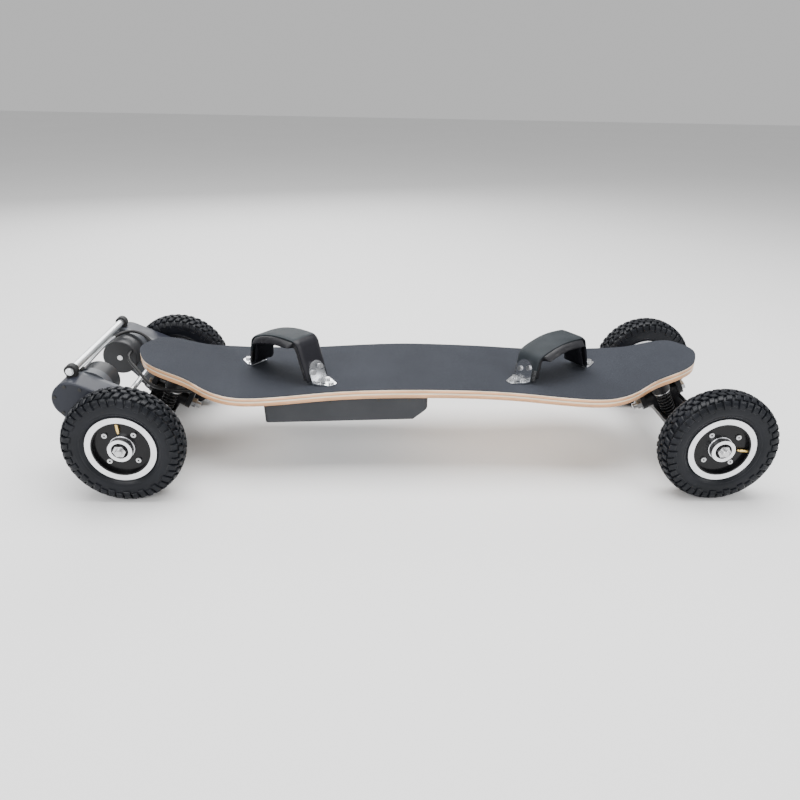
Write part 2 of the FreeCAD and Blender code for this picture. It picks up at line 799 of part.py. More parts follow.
def tyre():
    s, t = bead_half_width, tyre_half_width
    side = [V(rim_flange_r + 0.4, s + 0.1, 0), V(66, t * 0.9, 0), V(78, t, 0), V(90, t * 0.95, 0)]
    shoulder = [V(96.5, t * 0.78, 0), V(tyre_r, t * 0.46, 0)]
    right = Part.BSplineCurve()
    right.interpolate(Points=side + shoulder)
    left = Part.BSplineCurve()
    left.interpolate(Points=[V(p.x, -p.y, 0) for p in side + shoulder])
    crown = Part.LineSegment(V(tyre_r, t * 0.46, 0), V(tyre_r, -t * 0.46, 0))
    foot = [V(side[0].x, side[0].y, 0), V(bead_r, s, 0), V(bead_r, -s, 0), V(side[0].x, -side[0].y, 0)]
    lines = [Part.LineSegment(foot[i], foot[i + 1]) for i in range(3)]
    edges = [right.toShape(), left.toShape(), crown.toShape()] + [l.toShape() for l in lines]
    face = Part.Face(Part.Wire(Part.__sortEdges__(edges)))
    solid = face.revolve(V(0, 0, 0), V(0, 1, 0), 360)
    air = Part.makeTorus(74.0, 16.5, V(0, 0, 0), V(0, 1, 0))
    throat = ring_y(66.0, bead_r - 1, -9, 9, 0, 0)
    return solid.cut(air.fuse(throat))


def rim_half(outboard):
    """One half of the split rim: flange, barrel, dish and bearing boss, w outboard."""
    boss = hub_boss_out if outboard else hub_boss_in
    lip = bead_half_width + 0.2
    edge = lip + rim_flange_t
    barrel_in = bead_r - rim_barrel_t
    barrel = ring_y(bead_r, barrel_in, 0, edge, 0, 0)
    flange = ring_y(rim_flange_r, barrel_in + 1.5, lip, edge, 0, 0)
    web = ring_y(barrel_in + 1, bearing_r, web_inner, web_outer, 0, 0)
    hub = rod_y(hub_boss_r, 0, boss, 0, 0)
    pillars = [rod_y(6.5, 0, web_inner + 1, x, z) for x, z in rim_bolt_places()]
    body = fuse([barrel, flange, web, hub] + pillars)
    seat = boss - bearing_recess - bearing_width if outboard else boss - bearing_width
    body = body.cut(rod_y(bearing_r, seat, boss + 1, 0, 0))
    body = body.cut(rod_y(axle_tube_r + 0.5, -1, seat + 1, 0, 0))
    for x, z in rim_bolt_places():
        body = body.cut(rod_y(rim_bolt_r + bolt_gap, -1, web_outer + 1, x, z))
    return body


def rim_bolt_places():
    out = []
    for i in range(4):
        a = math.radians(45 + 90 * i)
        out.append((rim_bolt_circle_r * math.cos(a), rim_bolt_circle_r * math.sin(a)))
    return out


def rim():
    inner = mirror_y(rim_half(False))
    outer = rim_half(True)
    stem_hole = rod_x(valve_r, bead_r - rim_barrel_t - 2, bead_r + 2, web_outer + valve_r + 0.2, 0)
    return [outer.cut(stem_hole), inner]


def bearing(y0):
    race = ring_y(bearing_r, 11.6, y0, y0 + bearing_width, 0, 0)
    inner = ring_y(8.4, axle_r + run, y0, y0 + bearing_width, 0, 0)
    shield = ring_y(11.7, 8.3, y0 + 0.8, y0 + bearing_width - 0.8, 0, 0)
    return fuse([race, inner, shield])


bolt_head_r, bolt_head_h = 4.4, 3.0
stem_len = 13.0


def hub_hardware():
    """Bearings, rim bolts with their nuts, and the valve stem."""
    out = [bearing(hub_boss_out - bearing_recess - bearing_width), bearing(-hub_boss_in)]
    for x, z in rim_bolt_places():
        head = rod_y(bolt_head_r, web_outer, web_outer + bolt_head_h, x, z)
        socket = hex_bar(3.0, 2.0, V(x, web_outer + bolt_head_h - 1.6, z), V(0, 1, 0))
        shank = rod_y(rim_bolt_r, -web_outer - 5, web_outer, x, z)
        out.append(head.cut(socket).fuse(shank))
        nut = hex_bar(nut_af, nut_t, V(x, -web_outer - nut_t, z), V(0, 1, 0))
        out.append(nut.cut(rod_y(rim_bolt_r, -40, 40, x, z)))
    w = web_outer + valve_r + 0.2
    reach = math.sqrt(bead_r ** 2 - valve_r ** 2) - 0.02
    stem = rod_x(valve_r, reach - stem_len - 5, reach, w, 0)
    cap = rod_x(valve_r * 0.7, reach - stem_len - 9, reach - stem_len - 5, w, 0)
    out.append(stem.fuse(cap).removeSplitter())
    return out


def wheel_pulley():
    """Toothed wheel bolted to the rim's inner dish, with a long hollow hub."""
    y0 = belt_y - belt_width / 2 - 1.0 - wheel_plane_y
    y1 = belt_y + belt_width / 2 + 1.0 - wheel_plane_y
    body = rod_y(wheel_pulley_r, y0, y1, 0, 0).fuse(rod_y(pulley_hub_r, y1, -web_outer, 0, 0))
    body = body.cut(rod_y(pulley_bore_r, y0 - 1, 0, 0, 0))
    for x, z in rim_bolt_places():
        body = body.cut(rod_y(nut_af * 0.62, -web_outer - 9.0, 0, x, z))
    return body.removeSplitter()


def place_wheel(shape, front, left, valve_angle):
    """Turns a wheel piece so that its valve is at an angle, then puts it on its corner.

    The angle is seen from outside on the right-hand side, from +X towards +Z.
    """
    placed = shape.copy()
    placed.rotate(V(0, 0, 0), V(0, 1, 0), -valve_angle)
    if not left:
        placed = mirror_y(placed)
    side = 1 if left else -1
    placed.translate(V(axle_x if front else -axle_x, side * wheel_plane_y, axle_z))
    return placed


# ---- rear drive: built on the +Y side -------------------------------------------------
def motor_housing():
    y0, y1 = motor_inner_y, plate_y
    can = rod_y(motor_can_r, y0, y1, motor_x, motor_z)
    rims = [e for e in can.Edges if e.Curve.TypeId == "Part::GeomCircle" and abs(e.BoundBox.YMin - y0) < 0.1]
    can = can.makeFillet(2.5, rims)
    can = can.cut(rod_y(motor_can_r - motor_can_t, y0 + motor_cap_t, y1 - motor_cap_t, motor_x, motor_z))
    can = can.cut(rod_y(shaft_r + run, y0 - 1, y1 + 1, motor_x, motor_z))
    stator_out = motor_can_r - motor_can_t
    stator = ring_y(stator_out, rotor_r + air_gap, y0 + 12, y1 - 12, motor_x, motor_z)
    return [can, stator]


def motor_rotor():
    body = rod_y(rotor_r, motor_inner_y + 10, plate_y - 10, motor_x, motor_z)
    shaft = rod_y(shaft_r, motor_inner_y - 1.2, belt_y + belt_width / 2 + 3, motor_x, motor_z)
    return fuse([body, shaft])


def motor_pulley():
    y0, y1 = belt_y - belt_width / 2, belt_y + belt_width / 2
    body = rod_y(motor_pulley_r, y0 - 1, y1 + 1, motor_x, motor_z)
    for y in (y0 - 2, y1 + 1):
        body = body.fuse(rod_y(motor_pulley_r + belt_t, y, y + 1, motor_x, motor_z))
    body = body.cut(rod_y(shaft_r, y0 - 5, y1 + 5, motor_x, motor_z))
    return body.removeSplitter()


belt_gap = 0.2


def drive_belt():
    y0, y1 = belt_y - belt_width / 2, belt_y + belt_width / 2
    r0, r1 = motor_pulley_r + belt_gap, wheel_pulley_r + belt_gap
    outer = hull_y(motor_x, motor_z, r0 + belt_t, -axle_x, axle_z, r1 + belt_t, y0, y1)
    inner = hull_y(motor_x, motor_z, r0, -axle_x, axle_z, r1, y0 - 1, y1 + 1)
    return outer.cut(inner)


def cover_screw_places():
    out = []
    for deg in (50, 105, 165, 232):
        a = math.radians(deg)
        reach = cover_r - cover_screw_inset
        out.append((cover_x + reach * math.cos(a), cover_z + reach * math.sin(a)))
    return out


collar_y = 90.0
collar_r = 36.5
window_half = 6.5              # of the square opening in the collar's top
window_back = 7.0


def motor_mount():
    """Plate on the hanger's end that carries the motor, with a collar round the motor's end."""
    y0, y1 = plate_y, plate_y + plate_t
    plate = hull_y(cover_x, cover_z, cover_r, -axle_x, axle_z, cover_axle_r, y0, y1)
    collar = ring_y(collar_r, motor_can_r, collar_y, y0, motor_x, motor_z)
    saddle = hull_y(cover_x + 4, cover_z, cover_r - 1, motor_x, motor_z, collar_r, collar_y + 8, y0)
    saddle = saddle.cut(rod_y(motor_can_r, 0, y0 + 1, motor_x, motor_z))
    body = fuse([plate, collar, saddle])
    window_y = (collar_y + plate_y) / 2
    window_x = motor_x - window_back
    window = box(window_x - window_half, window_x + window_half, window_y - window_half, window_y + window_half,
                 motor_z, motor_z + collar_r + cover_r)
    body = body.cut(window.cut(rod_y(motor_can_r + 1.2, 0, 200, motor_x, motor_z)))
    body = body.cut(rod_y(shaft_r + 3, y0 - 1, y1 + 1, motor_x, motor_z))
    body = body.cut(rod_y(lead_r + bolt_gap, 0, collar_y + 8, notch_x, notch_z))
    body = body.cut(rod_y(axle_tube_r, y0 - 1, y1 + 1, -axle_x, axle_z))
    for x, z in cover_screw_places():
        body = body.cut(rod_y(cover_screw_r, y0 + 1, y1 + 1, x, z))
    return body.removeSplitter()


def belt_cover():
    """Hollow cover over pulleys and belt, open towards the mount plate."""
    y0, y1 = plate_y + plate_t, cover_outer_y
    skin = hull_y(cover_x, cover_z, cover_r, -axle_x, axle_z, cover_axle_r, y0, y1)
    rims = [e for e in skin.Edges if abs(e.BoundBox.YMin - y1) < 0.1 and e.BoundBox.YLength < 0.1]
    skin = skin.makeFillet(cover_fillet, rims)
    r_in, a_in = cover_r - cover_wall, cover_axle_r - cover_wall
    room = hull_y(cover_x, cover_z, r_in, -axle_x, axle_z, a_in, y0 - 1, y1 - cover_wall)
    body = skin.cut(room)
    posts = [rod_y(cover_post_r, y0, y1 - 1, x, z) for x, z in cover_screw_places()]
    body = fuse([body] + posts)
    body = body.cut(rod_y(pulley_hub_r + 2, y0, y1 + 1, -axle_x, axle_z))
    for x, z in cover_screw_places():
        body = body.cut(rod_y(cover_screw_r, y0 - 1, y1 + 1, x, z))
    return body.removeSplitter()


def cover_screws():
    out = []
    for x, z in cover_screw_places():
        head = rod_y(2.8, cover_outer_y, cover_outer_y + 1.4, x, z)
        shank = rod_y(cover_screw_r, plate_y + 2, cover_outer_y, x, z)
        out.append(head.fuse(shank).removeSplitter())
    return out


def guard_tube():
    tube = ring_y(tube_r, tube_r - 1.5, -tube_half, tube_half, tube_x, tube_z)
    plugs = []
    for side in (-1, 1):
        y0, y1 = sorted((side * (tube_half - 6), side * (tube_half + 2)))
        plug = rod_y(tube_r - 1.5, y0, y1, tube_x, tube_z)
        plugs.append(plug)
    return [tube] + plugs


def tube_clamp():
    y0, y1 = clamp_y - clamp_width / 2, clamp_y + clamp_width / 2
    band = rod_y(tube_r + clamp_t, y0, y1, tube_x, tube_z)
    foot = box(tube_x - 8, tube_x + 8, y0, y1, cover_z + cover_r * 0.6, tube_z)
    body = fuse([band, foot]).cut(rod_y(tube_r, y0 - 1, y1 + 1, tube_x, tube_z))
    solid_cover = hull_y(cover_x, cover_z, cover_r, -axle_x, axle_z, cover_axle_r, 0, 200)
    body = body.cut(solid_cover)
    return max(body.Solids, key=lambda s: s.Volume)


def brace_rod():
    return rod_y(brace_r, -plate_y, plate_y, brace_x, brace_z)


# ---- motor leads ----------------------------------------------------------------------
notch_x, notch_z = -592.0, 194.4
gland_x, gland_z = -555.5, 173.4
right_lead_route = [
    (notch_x, -98.0, notch_z), (notch_x, -62.0, notch_z), (notch_x - 0.6, -22.0, notch_z + 1.4),
    (notch_x - 0.6, 18.0, notch_z + 1.6), (-591.0, 52.0, 196.8), (-581.0, 76.0, 200.6), (-561.0, 89.0, 201.0),
    (-540.0, 88.0, 193.0), (-524.0, 81.0, 178.0), (-512.0, 74.0, 162.0), (-496.0, 67.0, 149.0),
    (-470.0, 62.0, 141.5), (-430.0, 62.0, 140.5), (-386.0, 60.0, 136.5), (-340.0, 55.0, 127.0),
    (-286.0, 52.0, 120.0),
]
left_lead_route = [
    (gland_x, 48.0, gland_z), (gland_x, 30.0, gland_z), (-549.0, 12.0, 169.0), (-535.0, 0.0, 160.0),
    (-520.0, -14.0, 150.0), (-505.0, -31.0, 143.0), (-484.0, -47.0, 139.0), (-456.0, -58.0, 139.5),
    (-420.0, -62.0, 140.5), (-386.0, -60.0, 136.5), (-340.0, -55.0, 127.0), (-286.0, -52.0, 120.0),
]


def rounded_path(route):
    """Straight runs joined by the largest tangent arcs the runs allow."""
    points = [V(*p) for p in route]
    edges, radii = [], []
    here = points[0]
    for before, corner, after in zip(points, points[1:], points[2:]):
        u, w = corner - before, after - corner
        half_turn = u.getAngle(w) / 2
        cut = 0.45 * min(u.Length, w.Length)
        radii.append(cut / math.tan(half_turn))
        start = corner - u * (cut / u.Length)
        end = corner + w * (cut / w.Length)
        inward = (w * (1 / w.Length) - u * (1 / u.Length))
        inward = inward * (1 / inward.Length)
        centre = corner + inward * (radii[-1] / math.cos(half_turn))
        middle = centre - inward * radii[-1]
        edges.append(Part.LineSegment(here, start).toShape())
        edges.append(Part.Arc(start, middle, end).toShape())
        here = end
    edges.append(Part.LineSegment(here, points[-1]).toShape())
    return Part.Wire(edges), radii


def lead(route, name):
    wire, radii = rounded_path(route)
    first = V(*route[1]) - V(*route[0])
    disc = Part.Wire([Part.makeCircle(lead_r, V(*route[0]), first)])
    tube = wire.makePipeShell([disc], True, False)
    expected = math.pi * lead_r ** 2 * wire.Length
    print(name, "length", round(wire.Length, 1), "volume ratio", round(tube.Volume / expected, 4),
          "radii", [round(r, 1) for r in radii])
    return tube


# ---- battery box ----------------------------------------------------------------------
def box_outline(inset):
    """Side outline of the battery box, inset all round, open-topped far above the deck line."""
    high = deck_centre_top + 20
    slope = math.atan2(box_front_z - box_rear_z, box_front_x - box_toe - box_rear_x)
    rear = box_rear_x + inset
    front = box_front_x - inset
    low_rear = box_rear_z + inset
    toe = box_front_x - box_toe - inset * 0.4
    low_front = low_rear + math.tan(slope) * (toe - rear)
    return [(rear, high), (rear + 5, low_rear), (toe, low_front), (front, box_toe_z + inset * 0.2), (front, high)]


def battery_box(above):
    outer = prism_y(box_outline(0), -box_half_y, box_half_y)
    corners = [e for e in outer.Edges if e.BoundBox.ZLength > 35 and e.BoundBox.YLength < 0.1]
    outer = outer.makeFillet(8.0, corners)
    inner = prism_y(box_outline(box_wall), -box_half_y + box_wall, box_half_y - box_wall)
    corners = [e for e in inner.Edges if e.BoundBox.ZLength > 30 and e.BoundBox.YLength < 0.1]
    inner = inner.makeFillet(5.0, corners)
    shell = outer.cut(inner).cut(above)
    shell = shell.cut(rod_y(socket_barrel_r, box_half_y - 8, box_half_y + 2, charge_x, port_z))
    shell = shell.cut(rod_y(socket_barrel_r, box_half_y - 8, box_half_y + 2, button_x, port_z))
    for x, z in box_screw_places():
        for y0 in (-box_half_y - 1, box_half_y - box_wall - 1):
            shell = shell.cut(rod_y(1.6, y0, y0 + box_wall + 2, x, z))
    for route in (right_lead_route, left_lead_route):
        end = route[-1]
        shell = shell.cut(rod_x(lead_r + bolt_gap, box_rear_x - 5, box_rear_x + 15, end[1], end[2]))
    return shell


charge_x = -60.0
button_x = -100.0
port_z = 126.0
socket_barrel_r = 7.0


def box_screw_places():
    out = []
    for x in (-250.0, -165.0, -80.0, -25.0):
        out.append((x, deck_top_z(x) - deck_t - cleat_h / 2))
    return out


def cleats(deck_under):
    """Two bars along the inside of the box, under the deck, that its side screws bite into."""
    depth = region_below(deck_t + cleat_h, 0.0, 300.0)
    out = []
    for side in (-1, 1):
        y0, y1 = sorted((side * (box_half_y - box_wall), side * (box_half_y - box_wall - cleat_w)))
        bar = box(box_rear_x + 24, box_front_x - 14, y0, y1, 60, 200)
        bar = bar.common(deck_under).cut(depth)
        for x, z in box_screw_places():
            s0, s1 = sorted((side * (box_half_y - box_wall - 7), side * box_half_y))
            bar = bar.cut(rod_y(1.5, s0, s1, x, z))
        out.append(bar)
    return out


def box_screws():
    out = []
    for side in (-1, 1):
        for x, z in box_screw_places():
            h0, h1 = sorted((side * box_half_y, side * (box_half_y + 1.6)))
            s0, s1 = sorted((side * (box_half_y - box_wall - 6), side * box_half_y))
            out.append(rod_y(3.0, h0, h1, x, z).fuse(rod_y(1.5, s0, s1, x, z)).removeSplitter())
    return out


pack_front_x = -30.0
pack_floor_gap = 0.5
tray_t = 1.5


def on_box_floor(shape):
    """From a frame with z = 0 on the box's inner floor and x = 0 at its rear corner."""
    slope = math.degrees(math.atan2(box_front_z - box_rear_z, box_front_x - box_toe - box_rear_x))
    turn = FreeCAD.Rotation(V(0, 1, 0), -slope)
    placed = shape.copy()
    corner = V(box_rear_x + box_wall, 0, box_rear_z + box_wall + pack_floor_gap)
    placed.Placement = FreeCAD.Placement(corner, turn).multiply(placed.Placement)
    return placed


def battery_pack():
    """Sleeved pack: one layer of cells on a tray, so its top is scalloped."""
    last = pack_front_x - box_rear_x - box_wall - cell_r
    start = last - (cell_rows - 1) * cell_pitch
    z = tray_t + cell_r
    cells = [rod_y(cell_r, -pack_half_y, pack_half_y, start + i * cell_pitch, z) for i in range(cell_rows)]
    web = box(start, last, -pack_half_y, pack_half_y, tray_t, z + 5.5)
    tray = box(start - cell_r - 3, last + cell_r + 3, -pack_half_y - 2, pack_half_y + 2, 0, tray_t)
    return on_box_floor(fuse([web, tray] + cells))


def motor_controller():
    """Finned aluminium controller on the box's floor, behind the battery."""
    x0, x1 = 8.0, 52.0
    base = box(x0, x1, -46, 46, 0, 9)
    fins = [box(x0, x1, -46 + 8 * i, -42 + 8 * i, 8, 17) for i in range(12)]
    return on_box_floor(fuse([base] + fins))


def power_switch():
    """Round bezel in the box's left wall that guides the push button."""
    y = box_half_y
    body = fuse([
        rod_y(socket_barrel_r + 3, y, y + 2.5, button_x, port_z),
        rod_y(socket_barrel_r, y - 13, y, button_x, port_z),
    ])
    return body.cut(rod_y(button_r + run, y - 9, y + 4, button_x, port_z))


button_r = 5.0
button_travel = 1.5


def power_button():
    y = box_half_y
    body = rod_y(button_r, y - 7, y + 4.2, button_x, port_z)
    rims = [e for e in body.Edges if abs(e.BoundBox.YMin - y - 4.2) < 0.1 and e.BoundBox.YLength < 0.1]
    return body.makeFillet(0.8, rims)


charge_bore_r = 4.0
charge_bore_depth = 11.0
socket_flange_r = socket_barrel_r + 3.0
socket_flange_t = 2.5
cap_r = socket_barrel_r + 2.0
cap_t = 2.4
cap_knuckle_r = 2.2
cap_pin_r = 1.0
cap_strip_half = 2.8
knuckle_z = port_z + cap_r + 3.6
knuckle_y = box_half_y + socket_flange_t + gap + cap_knuckle_r


def charge_port():
    """Panel socket with two small ears that hold its cap's hinge pin."""
    y = box_half_y
    parts = [
        rod_y(socket_flange_r, y, y + socket_flange_t, charge_x, port_z),
        rod_y(socket_barrel_r, y - 13, y, charge_x, port_z),
    ]
    for side in (-1, 1):
        x0, x1 = sorted((charge_x + side * (cap_strip_half + 0.4), charge_x + side * 5.0))
        parts.append(box(x0, x1, y, y + socket_flange_t, port_z + 8, knuckle_z + cap_knuckle_r))
        parts.append(box(x0, x1, y, knuckle_y + cap_knuckle_r, knuckle_z - cap_knuckle_r, knuckle_z + cap_knuckle_r))
    parts.append(rod_x(cap_pin_r, charge_x - 5, charge_x + 5, knuckle_y, knuckle_z))
    body = fuse(parts)
    return body.cut(rod_y(charge_bore_r, y + socket_flange_t - charge_bore_depth, y + 9, charge_x, port_z))


def charge_port_cap():
    """Rubber cap on a small hinge above the charging socket."""
    face = box_half_y + socket_flange_t + gap
    parts = [
        rod_y(cap_r, face, face + cap_t, charge_x, port_z),
        box(charge_x - cap_strip_half, charge_x + cap_strip_half, face, face + cap_t, port_z, knuckle_z),
        rod_x(cap_knuckle_r, charge_x - cap_strip_half, charge_x + cap_strip_half, knuckle_y, knuckle_z),
    ]
    body = fuse(parts)
    return body.cut(rod_x(cap_pin_r + run, charge_x - 4, charge_x + 4, knuckle_y, knuckle_z))


# ---- build ----------------------------------------------------------------------------
def build_deck_and_box():
    plan = plan_outline(100.0, 260.0)
    board = slab(grip_t, deck_t, 200.0).common(plan)
    grip = slab(0.0, grip_t, 200.0).common(plan)
    body = board.fuse(grip)
    plates, bolts, holes = [], [], []
    shapes = {}
    for name, binding in (("front", front_binding), ("rear", rear_binding)):
        shell, pad = strap_parts(binding)
        shapes[name + "_binding_strap"] = shell
        shapes[name + "_binding_pad"] = pad
        more = brackets_and_bolts(binding, body)
        plates += more[0]
        bolts += more[1]
        holes += more[2]
    cuts = group(holes + truck_bolt_holes())
    shapes["deck_board"] = board.cut(cuts)
    shapes["grip_tape"] = grip.cut(group(holes))
    shapes["binding_brackets"] = group(plates)
    clear = [b.cut(shapes["deck_board"]).cut(shapes["grip_tape"]) for b in bolts]
    shapes["deck_bolts"] = group([c.Solids[0] for c in clear] + truck_bolts())
    under = region_below(deck_t, 0.0, 300.0)
    high = region_below(-60.0, 0.0, 300.0)
    above = high.cut(under)
    shapes["battery_enclosure"] = battery_box(above)
    shapes["enclosure_cleats"] = group(cleats(under))
    shapes["enclosure_screws"] = group(box_screws())
    shapes["battery_pack"] = battery_pack()
    shapes["motor_controller"] = motor_controller()
    shapes["charge_port"] = charge_port()
    shapes["charge_port_cap"] = charge_port_cap()
    shapes["power_switch"] = power_switch()
    shapes["power_button"] = power_button()
    above_board = region_below(-60.0, 0.0, 300.0).cut(under)
    front_base = baseplate(above_board)
    shapes["front_baseplate"] = front_base
    shapes["rear_baseplate"] = mirror_x(front_base)
    bolt = pivot_bolt()
    shapes["pivot_bolts"] = group(bolt + [mirror_x(b) for b in bolt])
    seats = spring_seats()
    shapes["spring_seats"] = group(seats + [mirror_x(s) for s in seats])
    return shapes


def build_trucks():
    shapes = {}
    tube_y = wheel_plane_y - hub_boss_in - gap
    for name, arm_y in (("front", front_arm_y), ("rear", plate_y)):
        turn = (lambda s: s) if name == "front" else mirror_x
        shapes[name + "_hanger"] = turn(hanger(arm_y, tube_y))
        shapes[name + "_axle"] = group([turn(s) for s in [axle()] + axle_nuts()])
        for side, label in ((1, "left"), (-1, "right")):
            shapes[name + "_spring_" + label] = turn(spring(side))
    return shapes


def build_drive():
    shapes = {}
    pieces = {
        "motor_housing": group(motor_housing()),
        "motor_rotor": motor_rotor(),
        "motor_pulley": motor_pulley(),
        "motor_mount": motor_mount(),
        "drive_belt": drive_belt(),
        "belt_cover": belt_cover(),
    }
    for name, shape in pieces.items():
        shapes[name + "_left"] = shape
        shapes[name + "_right"] = mirror_y(shape)
    screws = cover_screws()
    shapes["cover_screws"] = group(screws + [mirror_y(s) for s in screws])
    clamp = tube_clamp()
    shapes["tube_clamps"] = group([clamp, mirror_y(clamp)])
    shapes["guard_tube"] = group(guard_tube())
    shapes["brace_rod"] = brace_rod()
    shapes["motor_leads"] = group([lead(right_lead_route, "right lead"), lead(left_lead_route, "left lead")])
    return shapes


valve_angles = {"front_left": 20.0, "front_right": -5.0, "rear_left": 200.0, "rear_right": 92.0}


def build_wheels():
    shapes = {}
    tyre_shape, rim_shape, hardware = tyre(), group(rim()), group(hub_hardware())
    pulley = wheel_pulley()
    for name, angle in valve_angles.items():
        front, left = name.startswith("front"), name.endswith("left")
        shapes[name + "_tyre"] = place_wheel(tyre_shape, front, left, angle)
        shapes[name + "_rim"] = place_wheel(rim_shape, front, left, angle)
        shapes[name + "_hub_hardware"] = place_wheel(hardware, front, left, angle)
        if not front:
            shapes["wheel_pulley_" + name.split("_")[1]] = place_wheel(pulley, front, left, angle)
    return shapes


def main():
    os.makedirs("parts", exist_ok=True)
    nodes = {}
    nodes.update(build_deck_and_box())
    nodes.update(build_trucks())
    nodes.update(build_drive())
    nodes.update(build_wheels())
    for node, shape in sorted(nodes.items()):
        box_of = shape.BoundBox
        print(node, "solids", len(shape.Solids), "valid", shape.isValid(),
              "z", round(box_of.ZMin, 1), round(box_of.ZMax, 1))
        save(node, shape)
    print(len(nodes), "nodes, origin shift", round(origin_shift, 3))


main()
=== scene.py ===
# %% [markdown]
# # An off-road electric skateboard
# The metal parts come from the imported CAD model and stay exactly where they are.
# This lesson gives every one of them a finish, and models the soft and the finely detailed
# pieces on top: knobby tyres, padded foot straps, coil springs and the motors' rubber leads.

# %% Load the fixed frame
import json
import math
import bmesh
import bpy
from mathutils import Matrix, Vector
from mathutils.bvhtree import BVHTree


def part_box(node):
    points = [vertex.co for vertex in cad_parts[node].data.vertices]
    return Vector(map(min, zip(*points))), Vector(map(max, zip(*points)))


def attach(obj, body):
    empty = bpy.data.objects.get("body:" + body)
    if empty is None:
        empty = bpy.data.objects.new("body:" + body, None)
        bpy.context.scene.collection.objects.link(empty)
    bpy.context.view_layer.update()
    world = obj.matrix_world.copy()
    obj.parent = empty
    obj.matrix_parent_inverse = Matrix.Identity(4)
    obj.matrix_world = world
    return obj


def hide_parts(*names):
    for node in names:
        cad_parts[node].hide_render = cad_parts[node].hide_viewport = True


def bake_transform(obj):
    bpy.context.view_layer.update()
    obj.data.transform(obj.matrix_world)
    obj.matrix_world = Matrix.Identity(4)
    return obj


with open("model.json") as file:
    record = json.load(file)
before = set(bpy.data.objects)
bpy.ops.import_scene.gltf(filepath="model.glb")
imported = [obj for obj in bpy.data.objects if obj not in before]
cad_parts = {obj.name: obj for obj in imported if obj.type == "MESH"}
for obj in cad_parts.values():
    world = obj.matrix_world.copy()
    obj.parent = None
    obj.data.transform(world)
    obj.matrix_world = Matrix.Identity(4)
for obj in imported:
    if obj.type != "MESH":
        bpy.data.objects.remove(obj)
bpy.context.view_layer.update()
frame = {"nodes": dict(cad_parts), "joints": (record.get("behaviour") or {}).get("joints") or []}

nodes = frame["nodes"]
MM = 0.001

# %% [markdown]
# ## Camera, floor and light
# The board is seen from its right side, a little from above, with a fairly wide lens.
# Two yaw and pitch angles and a small roll say where the camera looks. Large soft lamps on
# a pale floor work like a light tent: they draw long soft highlights on the rubber.

# %% The camera
CAMERA_PLACE = Vector((-0.07605, -1.1918, 0.6601))
CAMERA_YAW = 0.041
CAMERA_PITCH = 0.443
CAMERA_ROLL = 0.021
LENS_MM = 30.59


def camera_axes():
    """Right, up and backward directions of the camera."""
    forward = Vector((
        math.sin(CAMERA_YAW) * math.cos(CAMERA_PITCH),
        math.cos(CAMERA_YAW) * math.cos(CAMERA_PITCH),
        -math.sin(CAMERA_PITCH),
    ))
    level = Vector((math.cos(CAMERA_YAW), -math.sin(CAMERA_YAW), 0))
    over = level.cross(forward)
    right = level * math.cos(CAMERA_ROLL) + over * math.sin(CAMERA_ROLL)
    up = over * math.cos(CAMERA_ROLL) - level * math.sin(CAMERA_ROLL)
    return right, up, -forward


lens = bpy.data.cameras.new("camera")
lens.lens = LENS_MM
lens.sensor_width = 36.0
camera = bpy.data.objects.new("camera", lens)
bpy.context.scene.collection.objects.link(camera)
right, up, back = camera_axes()
camera.matrix_world = Matrix.Translation(CAMERA_PLACE) @ Matrix((right, up, back)).transposed().to_4x4()
bpy.context.scene.camera = camera
print("camera at", CAMERA_PLACE, "with a", LENS_MM, "mm lens")

# %% Floor, lamps and sky


def finished_object(name, mesh):
    """A new object at the origin that holds the mesh."""
    made = bpy.data.objects.new(name, mesh)
    bpy.context.scene.collection.objects.link(made)
    return made


def mesh_of(bm, name):
    """Turns a bmesh into a mesh, and frees the bmesh."""
    mesh = bpy.data.meshes.new(name)
    bm.to_mesh(mesh)
    bm.free()
    return mesh


def area_lamp(name, place, target, size, watts):
    data = bpy.data.lights.new(name, "AREA")
    data.shape = "RECTANGLE"
    data.size, data.size_y = size
    data.energy = watts
    lamp = bpy.data.objects.new(name, data)
    bpy.context.scene.collection.objects.link(lamp)
    lamp.location = place
    lamp.rotation_euler = (Vector(target) - Vector(place)).to_track_quat("-Z", "Y").to_euler()


floor_bm = bmesh.new()
bmesh.ops.create_grid(floor_bm, x_segments=1, y_segments=1, size=12.0)
floor = finished_object("floor", mesh_of(floor_bm, "floor"))

area_lamp("overhead", (0.0, 0.2, 2.6), (0, 0, 0.1), (3.2, 1.8), 150)
area_lamp("front_soft", (-1.4, -2.6, 1.7), (0, 0, 0.1), (2.2, 1.4), 60)
area_lamp("side_soft", (2.4, -1.6, 1.5), (0.2, 0, 0.1), (1.4, 1.4), 34)
area_lamp("rear_rim", (-0.8, 2.4, 1.5), (0, 0, 0.15), (2.4, 1.0), 44)

sky = bpy.data.worlds.new("studio")
sky.use_nodes = True
sky.node_tree.nodes["Background"].inputs["Color"].default_value = (1, 1, 1, 1)
sky.node_tree.nodes["Background"].inputs["Strength"].default_value = 0.62
bpy.context.scene.world = sky
print("floor, four lamps and a white sky")

# %% [markdown]
# ## A small kit for finishes
# Every finish is a Principled shader fed by procedural nodes on Object coordinates, so a
# pattern stays where it is when the piece turns. The helpers below add one node each, wire
# what they are given, and hand back its output, which keeps each finish short.

# %% The finish kit


